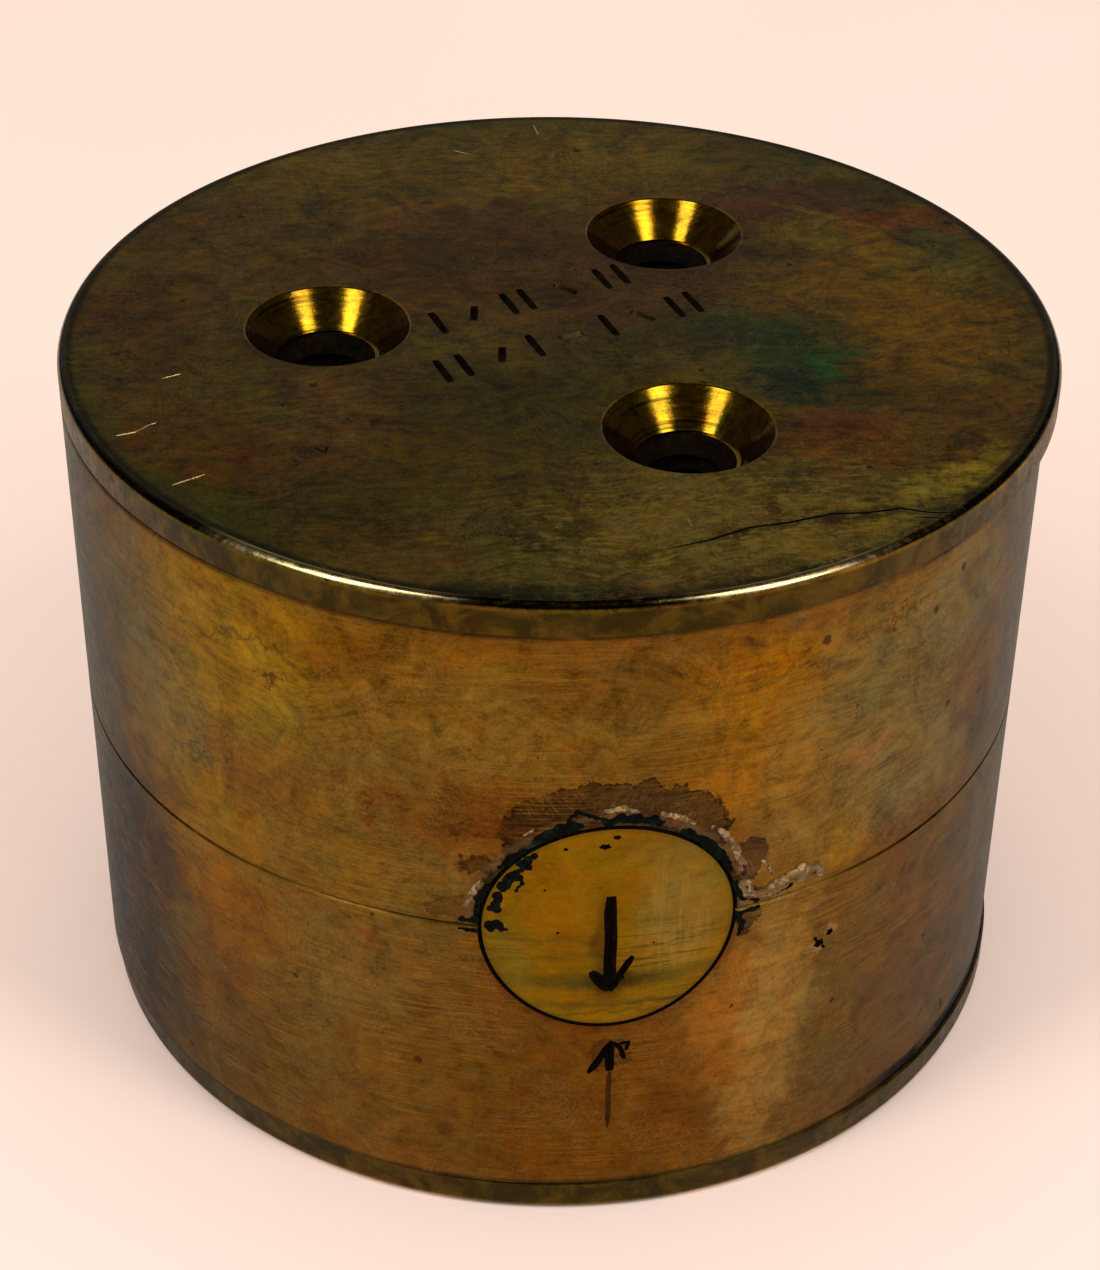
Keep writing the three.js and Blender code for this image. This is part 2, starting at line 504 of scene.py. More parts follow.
class Recipe:
    """Adds nodes to one tree and links them by plain calls."""

    def __init__(self, tree: bpy.types.NodeTree) -> None:
        """Start on a tree."""
        self.tree = tree

    def add(self, kind: str, inputs: dict | None = None, **settings: object) -> bpy.types.Node:
        """Add a node.

        Args:
            kind: The node's type.
            inputs: Socket name or number to a value or to another node's output.
            **settings: The node's own properties.

        Returns:
            The node.
        """
        node = self.tree.nodes.new(kind)
        for key, value in settings.items():
            setattr(node, key, value)
        for key, value in (inputs or {}).items():
            self.feed(node, key, value)
        return node

    def math(self, operation: str, a: object, b: object = 0.0) -> bpy.types.NodeSocket:
        """Return the result of a sum on one or two numbers."""
        return self.add("ShaderNodeMath", {0: a, 1: b}, operation=operation).outputs[0]

    def vector(self, operation: str, a: object, b: object = (0, 0, 0)) -> bpy.types.NodeSocket:
        """Return the result of a sum on vectors."""
        node = self.add("ShaderNodeVectorMath", {0: a, 1: b}, operation=operation)
        return node.outputs[1 if operation == "LENGTH" else 0]

    def mix(self, factor: object, a: object, b: object) -> bpy.types.NodeSocket:
        """Return a blend of two colours."""
        return self.add("ShaderNodeMix", {0: factor, 6: a, 7: b}, data_type="RGBA").outputs[2]

    def noise(self, vector: object, scale: float, detail: float = 4.0, rough: float = 0.55,
              warp: float = 0.0) -> bpy.types.Node:
        """Add a noise texture. Output 0 is its value and output 1 its colour."""
        inputs = {"Vector": vector, "Scale": scale, "Detail": detail, "Roughness": rough, "Distortion": warp}
        return self.add("ShaderNodeTexNoise", inputs)

    def span(self, value: object, low: object, high: object, to_low: float = 0.0,
             to_high: float = 1.0) -> bpy.types.NodeSocket:
        """Return a value mapped smoothly from one range to another."""
        inputs = {"Value": value, "From Min": low, "From Max": high, "To Min": to_low, "To Max": to_high}
        return self.add("ShaderNodeMapRange", inputs, interpolation_type="SMOOTHSTEP").outputs[0]

    def split(self, vector: object) -> tuple[bpy.types.NodeSocket, ...]:
        """Return a vector's three parts."""
        return tuple(self.add("ShaderNodeSeparateXYZ", {0: vector}).outputs)

    def join(self, x: object, y: object, z: object = 0.0) -> bpy.types.NodeSocket:
        """Return a vector made of three parts."""
        return self.add("ShaderNodeCombineXYZ", {0: x, 1: y, 2: z}).outputs[0]

    def times(self, a: object, b: object) -> bpy.types.NodeSocket:
        """Return the product of two numbers."""
        return self.math("MULTIPLY", a, b)

    def plus(self, a: object, b: object) -> bpy.types.NodeSocket:
        """Return the sum of two numbers."""
        return self.math("ADD", a, b)

    def minus(self, a: object, b: object) -> bpy.types.NodeSocket:
        """Return the first number less the second."""
        return self.math("SUBTRACT", a, b)

    def group(self, tree: bpy.types.NodeTree, inputs: dict) -> bpy.types.Node:
        """Place a node group."""
        return self.add("ShaderNodeGroup", inputs, node_tree=tree)

    def feed(self, node: bpy.types.Node, name: str | int, value: object) -> None:
        """Set a node's input to a value, or link it to another node's output.

        Args:
            node: The node.
            name: The input's name or number.
            value: The value or output.
        """
        if isinstance(value, bpy.types.NodeSocket):
            self.tree.links.new(value, node.inputs[name])
        else:
            node.inputs[name].default_value = value

    def millimetres(self) -> bpy.types.NodeSocket:
        """Return the place on the object, in millimetres."""
        place = self.add("ShaderNodeTexCoord").outputs["Object"]
        return self.vector("MULTIPLY", place, (1000, 1000, 1000))


class Groups:
    """The shader node groups that several finishes share, each built once."""

    KINDS = {"v": "NodeSocketVector", "f": "NodeSocketFloat", "c": "NodeSocketColor"}

    def _start(self, name: str, inputs: Sequence[tuple[str, str, object]],
               outputs: Sequence[tuple[str, str]]) -> tuple[Recipe, bpy.types.Node, bpy.types.Node]:
        """Make an empty group with its sockets.

        Args:
            name: Name of the group.
            inputs: Name, kind and default of each input.
            outputs: Name and kind of each output.

        Returns:
            A recipe on the group, and its input and output nodes.
        """
        tree = bpy.data.node_groups.new(name, "ShaderNodeTree")
        for label, kind, default in inputs:
            socket = tree.interface.new_socket(label, in_out="INPUT", socket_type=self.KINDS[kind])
            socket.default_value = default
        for label, kind in outputs:
            tree.interface.new_socket(label, in_out="OUTPUT", socket_type=self.KINDS[kind])
        recipe = Recipe(tree)
        return recipe, recipe.add("NodeGroupInput"), recipe.add("NodeGroupOutput")

    def __init__(self) -> None:
        """Build every group."""
        self.unrolled = self._unrolled()
        self.patch = self._patch()
        self.mottle = self._mottle()
        self.patina = self._patina()
        self.streaks = self._streaks()
        self.hairs = self._hairs()
        self.specks = self._specks()
        self.near_bore = self._near_bore()

    def _unrolled(self) -> bpy.types.NodeTree:
        """Map a place in millimetres to (arc, height) on a wall about an upright axis.

        Returns:
            The group's tree.
        """
        inputs = [("Place", "v", (0, 0, 0)), ("Axis X", "f", 0.0), ("Radius", "f", 1.0)]
        r, start, end = self._start("unrolled_wall", inputs, [("Flat", "v")])
        x, y, z = r.split(start.outputs["Place"])
        angle = r.math("ARCTAN2", r.minus(x, start.outputs["Axis X"]), r.times(y, -1.0))
        flat = r.join(r.times(angle, start.outputs["Radius"]), z)
        r.feed(end, "Flat", flat)
        return r.tree

    def _patch(self) -> bpy.types.NodeTree:
        """Mask an oval area with a soft edge, and the thin line along that edge.

        Returns:
            The group's tree.
        """
        inputs = [("Flat", "v", (0, 0, 0)), ("Centre", "v", (0, 0, 0)), ("Radii", "v", (1, 1, 1)),
                  ("Turn", "f", 0.0), ("Soft", "f", 0.5), ("Line", "f", 0.05), ("Strength", "f", 1.0)]
        r, start, end = self._start("oval_patch", inputs, [("Mask", "f"), ("Edge", "f")])
        offset = r.vector("SUBTRACT", start.outputs["Flat"], start.outputs["Centre"])
        inputs = {"Vector": offset, "Angle": start.outputs["Turn"]}
        turned = r.add("ShaderNodeVectorRotate", inputs, rotation_type="Z_AXIS").outputs[0]
        reach = r.vector("LENGTH", r.vector("DIVIDE", turned, start.outputs["Radii"]))
        soft = start.outputs["Soft"]
        mask = r.span(reach, r.plus(1.0, soft), r.minus(1.0, soft))
        edge = r.span(r.math("ABSOLUTE", r.minus(reach, 1.0)), start.outputs["Line"], 0.0)
        r.feed(end, "Mask", r.times(mask, start.outputs["Strength"]))
        r.feed(end, "Edge", r.times(edge, start.outputs["Strength"]))
        return r.tree

    def _mottle(self) -> bpy.types.NodeTree:
        """Blend three tarnish colours in soft clouds.

        Returns:
            The group's tree.
        """
        inputs = [("Place", "v", (0, 0, 0)), ("Main", "c", (1, 1, 1, 1)), ("Warm", "c", (1, 1, 1, 1)),
                  ("Cool", "c", (1, 1, 1, 1)), ("Scale", "f", 0.1)]
        r, start, end = self._start("tarnish_mottle", inputs, [("Colour", "c")])
        place, scale = start.outputs["Place"], start.outputs["Scale"]
        first = r.noise(place, scale, 6.0, 0.62, 0.8).outputs[0]
        second = r.noise(r.vector("ADD", place, (53.0, -17.0, 29.0)), scale, 6.0, 0.62, 0.8).outputs[0]
        colour = r.mix(r.span(first, 0.47, 0.64), start.outputs["Main"], start.outputs["Warm"])
        colour = r.mix(r.span(second, 0.49, 0.68), colour, start.outputs["Cool"])
        r.feed(end, "Colour", colour)
        return r.tree

    def _patina(self) -> bpy.types.NodeTree:
        """Break a colour up with blotches, swirling rub marks and pores.

        Returns:
            The group's tree.
        """
        inputs = [("Colour", "c", (1, 1, 1, 1)), ("Place", "v", (0, 0, 0)), ("Flat", "v", (0, 0, 0)),
                  ("Strength", "f", 0.6), ("Swirl", "f", 14.0)]
        r, start, end = self._start("patina", inputs, [("Colour", "c"), ("Grain", "f"), ("Blotch", "f")])
        place, flat = start.outputs["Place"], start.outputs["Flat"]
        blotch = r.noise(place, 0.3, 8.0, 0.66, 1.3).outputs[0]
        grain = r.noise(place, 1.6, 6.0, 0.7, 0.4).outputs[0]
        pores = r.noise(place, 5.5, 2.0, 0.6).outputs[0]
        flow = r.vector("SUBTRACT", r.noise(flat, 0.055, 2.0).outputs[1], (0.5, 0.5, 0.5))
        bent = r.vector("SCALE", flow)
        r.feed(bent.node, "Scale", start.outputs["Swirl"])
        rubbed = r.vector("MULTIPLY", r.vector("ADD", flat, bent), (0.5, 2.6, 1.0))
        fibres = r.noise(rubbed, 1.0, 5.0, 0.7, 0.3).outputs[0]
        total: object = 0.0
        for value, weight in ((blotch, 2.4), (grain, 1.6), (fibres, 2.0), (pores, 1.0)):
            total = r.plus(total, r.times(r.minus(value, 0.5), weight))
        shade = r.plus(1.0, r.times(total, start.outputs["Strength"]))
        shade = r.math("MINIMUM", r.math("MAXIMUM", shade, 0.42), 1.9)
        shaded = r.vector("SCALE", start.outputs["Colour"])
        r.feed(shaded.node, "Scale", shade)
        hue = r.noise(r.vector("ADD", place, (11.0, 47.0, -31.0)), 0.24, 6.0, 0.65, 1.0).outputs[0]
        tint = r.mix(r.span(hue, 0.4, 0.6), (1.06, 0.97, 0.8, 1.0), (0.95, 1.03, 1.15, 1.0))
        r.feed(end, "Colour", r.vector("MULTIPLY", shaded, tint))
        height = r.plus(r.times(grain, 0.5), r.times(fibres, 0.5))
        r.feed(end, "Grain", height)
        r.feed(end, "Blotch", blotch)
        return r.tree

    def _streaks(self) -> bpy.types.NodeTree:
        """Make fine streaks: the place is squeezed along the streaks and fine across them.

        Returns:
            The group's tree.
        """
        inputs = [("Place", "v", (0, 0, 0)), ("Squeeze", "v", (0.05, 0.05, 4.0)), ("Sharp", "f", 0.12)]
        r, start, end = self._start("turning_streaks", inputs, [("Height", "f"), ("Dark", "f")])
        squeezed = r.vector("MULTIPLY", start.outputs["Place"], start.outputs["Squeeze"])
        lines = r.noise(squeezed, 1.0, 6.0, 0.7, 0.3).outputs[0]
        patchy = r.noise(start.outputs["Place"], 0.16, 3.0).outputs[0]
        r.feed(end, "Height", lines)
        dark = r.span(lines, 0.5, r.plus(0.5, start.outputs["Sharp"]))
        dark = r.times(dark, r.span(patchy, 0.42, 0.62))
        r.feed(end, "Dark", dark)
        return r.tree

    def _hairs(self) -> bpy.types.NodeTree:
        """Mask hair scratches that run in two directions across a flat place.

        Returns:
            The group's tree.
        """
        inputs = [("Flat", "v", (0, 0, 0)), ("Turn", "f", 0.5), ("Width", "f", 0.012), ("Scale", "f", 1.0)]
        r, start, end = self._start("hair_scratches", inputs, [("Mask", "f")])
        masks = []
        for turn, seed in ((0.0, 3.0), (1.1, 41.0), (2.0, 77.0)):
            angle = r.plus(start.outputs["Turn"], turn)
            moved = r.vector("ADD", start.outputs["Flat"], (seed, -seed, seed))
            inputs = {"Vector": moved, "Angle": angle}
            turned = r.add("ShaderNodeVectorRotate", inputs, rotation_type="Z_AXIS").outputs[0]
            long = r.vector("MULTIPLY", turned, (0.22, 1.9, 1.0))
            inputs = {"Vector": long, "Scale": start.outputs["Scale"], "Detail": 2.0, "Distortion": 0.25}
            field_value = r.add("ShaderNodeTexNoise", inputs).outputs[0]
            line = r.span(r.math("ABSOLUTE", r.minus(field_value, 0.5)), start.outputs["Width"], 0.0)
            here = r.span(r.noise(moved, 0.21, 2.0).outputs[0], 0.54, 0.64)
            masks.append(r.times(line, here))
        both = r.math("MAXIMUM", masks[0], r.math("MAXIMUM", masks[1], masks[2]))
        r.feed(end, "Mask", both)
        return r.tree

    def _specks(self) -> bpy.types.NodeTree:
        """Mask small round specks at random places.

        Returns:
            The group's tree.
        """
        inputs = [("Place", "v", (0, 0, 0)), ("Scale", "f", 0.5), ("Size", "f", 0.12), ("Share", "f", 0.3)]
        r, start, end = self._start("corrosion_specks", inputs, [("Mask", "f")])
        ragged = r.noise(start.outputs["Place"], 3.0, 3.0).outputs[1]
        place = r.vector("ADD", start.outputs["Place"], r.vector("MULTIPLY", ragged, (0.5, 0.5, 0.5)))
        cells = r.add("ShaderNodeTexVoronoi", {"Vector": place, "Scale": start.outputs["Scale"]})
        chance, size, _ = r.split(cells.outputs["Color"])
        radius = r.times(start.outputs["Size"], r.plus(0.35, size))
        dot = r.span(cells.outputs["Distance"], radius, r.times(radius, 0.55))
        chosen = r.math("LESS_THAN", chance, start.outputs["Share"])
        r.feed(end, "Mask", r.times(dot, chosen))
        return r.tree

    def _near_bore(self) -> bpy.types.NodeTree:
        """Give the distance from a round bore's edge, and how far up a place lies around it.

        Returns:
            The group's tree.
        """
        inputs = [("Flat", "v", (0, 0, 0)), ("Centre", "v", (0, 0, 0)), ("Radius", "f", 1.0)]
        r, start, end = self._start("near_bore", inputs, [("Away", "f"), ("Up", "f")])
        offset = r.vector("SUBTRACT", start.outputs["Flat"], start.outputs["Centre"])
        reach = r.vector("LENGTH", offset)
        y = r.split(offset)[1]
        r.feed(end, "Away", r.minus(reach, start.outputs["Radius"]))
        r.feed(end, "Up", r.math("DIVIDE", y, reach))
        return r.tree


@dataclass(frozen=True)
class Spot:
    """An oval area of colour on a flat place: mostly tarnish, and in some spots painted highlight and
    reflection.
    """

    x: float
    y: float
    rx: float
    ry: float
    colour: str
    strength: float = 0.8
    soft: float = 0.55
    turn: float = 0.0


class Painter(Recipe):
    """A recipe on one material's tree, with the groups that the finishes share."""

    GRAIN_LOW, GRAIN_HIGH = 0.35, 0.65
    ANY_DEPTH = 1000.0

    def __init__(self, name: str, groups: Groups | None = None) -> None:
        """Start a material.

        Args:
            name: Name of the material.
            groups: The shared groups, which a plain material doesn't need.
        """
        self.material = bpy.data.materials.new(name)
        self.material.use_nodes = True
        super().__init__(self.material.node_tree)
        self.shader = self.tree.nodes["Principled BSDF"]
        self.groups = groups

    def tarnish(self, place: object, colours: Sequence[str], scale: float) -> object:
        """Return clouds of three tarnish colours: the main one, a warm one and a cool one."""
        inputs = {name: srgb(colour) for name, colour in zip(("Main", "Warm", "Cool"), colours)}
        return self.group(self.groups.mottle, {"Place": place, "Scale": scale, **inputs}).outputs["Colour"]

    def weather(self, colour: object, place: object, flat: object, strength: object,
                swirl: float = 14.0) -> tuple[object, ...]:
        """Break a colour up by the patina group, and return its colour, grain and blotches."""
        inputs = {"Colour": colour, "Place": place, "Flat": flat, "Strength": strength, "Swirl": swirl}
        return tuple(self.group(self.groups.patina, inputs).outputs)

    def oval(self, flat: object, centre: Point, radii: Point, soft: float, **values: float) -> bpy.types.Node:
        """Place the oval patch group on a flat place."""
        inputs = {"Flat": flat, "Centre": (*centre, 0), "Radii": (*radii, self.ANY_DEPTH), "Soft": soft}
        return self.group(self.groups.patch, {**inputs, **values})

    def streaked(self, place: object, squeeze: Sequence[float], sharp: float) -> bpy.types.Node:
        """Place the streaks group."""
        return self.group(self.groups.streaks, {"Place": place, "Squeeze": squeeze, "Sharp": sharp})

    def hairs(self, flat: object, turn: float, width: float, scale: float) -> object:
        """Return the mask of hair scratches on a flat place."""
        inputs = {"Flat": flat, "Turn": turn, "Width": width, "Scale": scale}
        return self.group(self.groups.hairs, inputs).outputs["Mask"]

    def specks(self, place: object, scale: float, size: float, share: float) -> object:
        """Return the mask of corrosion specks."""
        inputs = {"Place": place, "Scale": scale, "Size": size, "Share": share}
        return self.group(self.groups.specks, inputs).outputs["Mask"]

    def over(self, colour: object, mask: object, share: float, paint: str) -> object:
        """Lay a plain paint over a colour, at most as strong as its share."""
        return self.mix(self.times(mask, share), colour, srgb(paint))

    def paint(self, colour: object, flat: object, spots: Iterable[Spot]) -> object:
        """Lay spots over a colour: mostly tarnish, some of them painted highlight and reflection.

        Args:
            colour: The colour so far.
            flat: The flat place, in millimetres.
            spots: The spots, first to last.

        Returns:
            The new colour.
        """
        for spot in spots:
            patch = self.oval(flat, (spot.x, spot.y), (spot.rx, spot.ry), spot.soft,
                              Turn=math.radians(-spot.turn), Strength=spot.strength)
            colour = self.mix(patch.outputs["Mask"], colour, srgb(spot.colour))
        return colour

    def ragged(self, place: object, flat: object, wide: float, middle: float, fine: float) -> object:
        """Shift a flat place by noise at three scales, so that what is painted there gets ragged edges.

        Args:
            place: The place in space, in millimetres.
            flat: The flat place.
            wide: Reach of the widest waves.
            middle: Reach of the middle waves.
            fine: Reach of the finest waves.

        Returns:
            The shifted flat place.
        """
        for reach, scale, detail in ((wide, 0.1, 2.0), (middle, 0.34, 3.0), (fine, 1.2, 5.0)):
            wave = self.noise(place, scale, detail, 0.62).outputs[1]
            wave = self.vector("SUBTRACT", wave, (0.5, 0.5, 0.5))
            flat = self.vector("ADD", flat, self.vector("MULTIPLY", wave, (reach * 2, reach * 2, 0.0)))
        return flat

    def roughen(self, grain: object, low: float, high: float) -> object:
        """Return a roughness that follows the grain."""
        return self.span(grain, self.GRAIN_LOW, self.GRAIN_HIGH, low, high)

    def surface(self, colour: object, rough: object, metal: object = 1.0) -> None:
        """Give the shader its colour, roughness and metal share."""
        for name, value in (("Base Color", colour), ("Roughness", rough), ("Metallic", metal)):
            self.feed(self.shader, name, value)

    def emboss(self, height: object, strength: object, distance: float) -> None:
        """Give the shader a fine relief, its distance in millimetres."""
        bump = self.add("ShaderNodeBump", {"Strength": strength, "Distance": distance * MM, "Height": height})
        self.feed(self.shader, "Normal", bump.outputs[0])


# ---------------------------------------------------------------- finishes


class Finish:
    """A finish that dresses one material by its own recipe."""

    name: str

    def build(self, groups: Groups) -> bpy.types.Material:
        """Make the material.

        Args:
            groups: The shared groups.

        Returns:
            The material.
        """
        r = Painter(self.name, groups)
        self.dress(r)
        return r.material

    def dress(self, r: Painter) -> None:
        """Lay the colours and the relief, in each finish its own way."""
        raise NotImplementedError


@dataclass(frozen=True)
class CoverBrass(Finish):
    """Brown-olive tarnish on a cover's outer face, dark on its rim, with a painted highlight on its corner at
    two bearings and a painted dark reflection elsewhere on the corner.
    """

    name: str
    place: Turned
    face_up: bool
    spots: tuple[Spot, ...] = ()
    marks: tuple[Spot, ...] = ()

    def dress(self, r: Painter) -> None:
        """Lay the colours and the relief.

        Args:
            r: The material's painter.
        """
        place = r.millimetres()
        x, y, z = r.split(place)
        flat = r.join(x, y)
        warped = r.ragged(place, flat, 3.0, 4.0, 2.4)
        colour = r.tarnish(place, ("78601c", "7e561e", "625818"), 0.085)
        colour = r.paint(colour, warped, self.spots)
        # Smudges and scratch marks, with one painted dark reflection along the front corner.
        colour = r.paint(colour, r.ragged(place, flat, 0.0, 0.7, 0.7), self.marks)
        colour, grain, blotch = r.weather(colour, place, flat, 1.15, 9.0)

        outer = self.place.high if self.face_up else self.place.low
        depth = r.math("ABSOLUTE", r.minus(z, outer))
        reach = r.vector("LENGTH", r.vector("SUBTRACT", flat, (self.place.x, self.place.y, 0)))
        corner = r.times(r.span(reach, self.place.radius - 0.55, self.place.radius - 0.45),
                         r.span(depth, 0.36, 0.26))
        colour = self._edges(r, place, colour, blotch, reach, depth, corner)

        face = r.span(depth, 0.3, 0.1)
        hairs = r.times(r.hairs(flat, 0.5, 0.014, 0.9), face)
        fine = r.times(r.hairs(flat, 1.3, 0.035, 3.4), face)
        colour = r.over(colour, fine, 0.4, "9a8040")
        colour = r.over(colour, hairs, 0.5, "241808")
        # Painted glints: bright golden speckles over a patch near the front, partly real bright scratches and
        # partly painted highlight.
        glint_patch = r.oval(warped, (6.5, -24.0), (13, 6), 0.7).outputs["Mask"]
        glints = r.math("MAXIMUM", r.hairs(flat, 0.2, 0.06, 6.0), r.span(grain, 0.5, 0.58))
        colour = r.over(colour, r.times(glints, r.times(glint_patch, face)), 0.75, "b49a48")
        specks = r.specks(place, 0.5, 0.13, 0.22)
        colour = r.over(colour, specks, 0.75, "1c120a")

        rough = r.minus(r.roughen(grain, 0.36, 0.56), r.times(corner, 0.24))
        r.surface(colour, rough)
        height = r.plus(r.times(grain, 0.9), r.times(hairs, -0.5))
        strength = r.times(r.minus(1.0, corner), 0.45)
        r.emboss(r.minus(height, r.times(specks, 0.8)), strength, 0.08)

    def _edges(self, r: Painter, place: object, colour: object, blotch: object, reach: object,
               depth: object, corner: object) -> object:
        """Darken the face's margin, the rim and the line inside the corner, and paint the corner's highlight
        and dark reflection.

        Args:
            r: The material's painter.
            place: The place in space, in millimetres.
            colour: The colour so far.
            blotch: The patina's blotches.
            reach: Distance from the cover's axis.
            depth: Distance below the outer face.
            corner: Mask of the rounded corner.

        Returns:
            The new colour.
        """
        radius = self.place.radius
        patchy = r.span(r.noise(place, 0.13, 3.0).outputs[0], 0.4, 0.62)
        margin = r.times(r.span(reach, radius - 3.2, radius - 0.7), patchy)
        colour = r.over(colour, margin, 0.5, "3e4418")
        rim_colour = r.mix(r.span(blotch, 0.42, 0.6), srgb("2c240a"), srgb("4a3c0e"))
        colour = r.mix(r.times(r.span(depth, 0.35, 0.62), 0.9), colour, rim_colour)
        inputs = {"Place": place, "Axis X": self.place.x, "Radius": math.degrees(1.0)}
        bearing = r.split(r.group(r.groups.unrolled, inputs).outputs["Flat"])[0]
        # Painted highlight and reflection: the corner is painted bright at two bearings, where the lamps'
        # highlight falls, and dark elsewhere for the dark surroundings it reflects.
        corner_painted_highlight = r.math("MAXIMUM", r.span(r.math("ABSOLUTE", r.plus(bearing, 31.0)), 17.0, 9.0),
                        r.span(r.math("ABSOLUTE", r.minus(bearing, 18.0)), 14.0, 7.0))
        corner_painted_reflection = r.mix(corner_painted_highlight, srgb("241c0c"), srgb("c4ac78"))
        colour = r.mix(r.times(corner, 0.95), colour, corner_painted_reflection)
        line = r.times(r.span(reach, radius - 1.15, radius - 0.75),
                       r.span(reach, radius - 0.45, radius - 0.6))
        return r.over(colour, line, 0.75, "181206")


@dataclass(frozen=True)
class Stain:
    """A dried film on the wall, placed from the plug's middle, with a darker outline."""

    x: float
    y: float
    rx: float
    ry: float
    fill: str
    line: str
    strength: float


WALL_STAINS = (
    Stain(0.3, 7.1, 6.7, 3.8, "402c14", "120803", 0.92),
    Stain(-3.2, 7.6, 3.2, 2.0, "241806", "180e04", 0.6),
    Stain(1.6, 8.6, 3.6, 1.4, "4e3618", "2c1c0c", 0.5),
    Stain(-7.4, 7.4, 2.6, 0.5, "583412", "3c1e08", 0.55),
    Stain(-9.3, 1.2, 1.5, 0.9, "5a3c1a", "3c220a", 0.6),
    Stain(-7.4, 4.9, 1.5, 0.45, "4c3014", "2c1808", 0.75),
    Stain(8.5, 4.0, 1.1, 1.8, "4a301a", "26140a", 0.85),
    Stain(8.7, -0.9, 0.8, 0.8, "3c2c1a", "1c1208", 0.8),
    Stain(13.8, -5.2, 0.5, 0.36, "967648", "5c4828", 0.6),
    Stain(14.9, -4.1, 0.5, 0.36, "967648", "5c4828", 0.6),
    Stain(0.3, -10.2, 1.3, 1.2, "3c240c", "2c1a08", 0.55),
)


@dataclass(frozen=True)
class WallBrass(Finish):
    """The body's outer wall: golden to copper-brown tarnish with painted highlight bands and sheen, water
    stains, fine turning streaks, and painted shade beside the covers.
    """

    wall: Wall
    bore_radius: float
    spots: tuple[Spot, ...]
    name: str = "wall_brass"

    def dress(self, r: Painter) -> None:
        """Lay the colours and the relief.

        Args:
            r: The material's painter.
        """
        place = r.millimetres()
        inputs = {"Place": place, "Axis X": self.wall.x, "Radius": self.wall.radius}
        flat = r.group(r.groups.unrolled, inputs).outputs["Flat"]
        arc, height, _ = r.split(flat)
        warped = r.ragged(place, flat, 1.6, 2.6, 1.8)
        jagged = r.ragged(place, flat, 0.0, 0.9, 1.1)
        colour = r.tarnish(place, ("6e501c", "704a18", "665424"), 0.09)
        colour = r.paint(colour, warped, self.spots)
        colour = self._stains(r, colour, jagged)
        colour = self._crusted_film(r, colour, flat, place)
        colour = self._joint_grime_and_painted_shade(r, colour, arc, height)
        strength = r.span(height, 12.0, 34.0, 0.7, 0.88)
        colour, grain, _ = r.weather(colour, place, flat, strength)

        streaks = r.streaked(place, (0.07, 0.07, 2.2), 0.12)
        colour = r.over(colour, streaks.outputs["Dark"], 0.35, "54300a")
        threads = r.streaked(place, (0.3, 0.3, 7.0), 0.1)
        colour = r.over(colour, threads.outputs["Dark"], 0.35, "9c7424")
        colour = r.over(colour, r.hairs(flat, 0.2, 0.03, 2.0), 0.3, "402a10")
        colour = r.over(colour, r.hairs(flat, 1.0, 0.03, 3.2), 0.25, "a88a48")
        specks = r.specks(place, 0.42, 0.13, 0.32)
        colour = r.over(colour, specks, 0.8, "3a1804")

        r.surface(colour, r.roughen(grain, 0.36, 0.54))
        r.shader.inputs["Specular Tint"].default_value = (0.6, 0.68, 0.76, 1.0)
        r.shader.inputs["Anisotropic"].default_value = 0.45
        r.shader.inputs["Anisotropic Rotation"].default_value = 0.25
        relief = r.plus(r.times(threads.outputs["Height"], 0.5), r.times(grain, 0.8))
        r.emboss(r.minus(relief, r.times(specks, 0.5)), 0.35, 0.06)

    def _stains(self, r: Painter, colour: object, jagged: object) -> object:
        """Add the dried films, each with its outline.

        Args:
            r: The material's painter.
            colour: The colour so far.
            jagged: The flat place with jagged edges.

        Returns:
            The new colour.
        """
        for stain in WALL_STAINS:
            centre, radii = (stain.x, self.wall.parting + stain.y), (stain.rx, stain.ry)
            patch = r.oval(jagged, centre, radii, 0.05, Strength=stain.strength,
                           Line=min(0.3, 0.16 / stain.ry))
            colour = r.mix(patch.outputs["Mask"], colour, srgb(stain.fill))
            colour = r.mix(patch.outputs["Edge"], colour, srgb(stain.line))
        return colour

    def _crusted_film(self, r: Painter, colour: object, flat: object, place: object) -> object:
        """Add the pale and green films that lie close around the plug, and the warm stain below it.

        Args:
            r: The material's painter.
            colour: The colour so far.
            flat: The flat place.
            place: The place in space.

        Returns:
            The new colour.
        """
        inputs = {"Flat": flat, "Centre": (0.0, self.wall.parting, 0.0), "Radius": self.bore_radius}
        near = r.group(r.groups.near_bore, inputs).outputs
        spread, hue, _ = r.split(r.noise(place, 0.9, 6.0, 0.65).outputs[1])
        film = r.plus(near["Away"], r.times(r.minus(spread, 0.5), 1.6))
        upper = r.span(near["Up"], -0.12, 0.1)
        pale = r.times(r.span(film, 1.25, 0.75), upper)
        colour = r.over(colour, pale, 0.6, "5c4830")
        green = r.mix(r.span(hue, 0.5, 0.56), srgb("0a0a06"), srgb("0a231d"))
        colour = r.mix(r.times(r.times(r.span(film, 0.6, 0.3), upper), 0.8), colour, green)
        lower = r.times(r.span(film, 0.9, 0.1), r.span(near["Up"], 0.0, -0.4))
        return r.over(colour, lower, 0.6, "522408")

    def _joint_grime_and_painted_shade(self, r: Painter, colour: object, arc: object, height: object) -> object:
        """Darken the parting line, paint shade along both ends of the wall, and paint shadow bands beside the
        covers on its right.

        Args:
            r: The material's painter.
            colour: The colour so far.
            arc: Place along the wall.
            height: Height.

        Returns:
            The new colour.
        """
        low, high = self.wall.low, self.wall.high
        joint = r.math("ABSOLUTE", r.minus(height, self.wall.parting))
        colour = r.over(colour, r.span(joint, 0.17, 0.04), 0.6, "301a08")
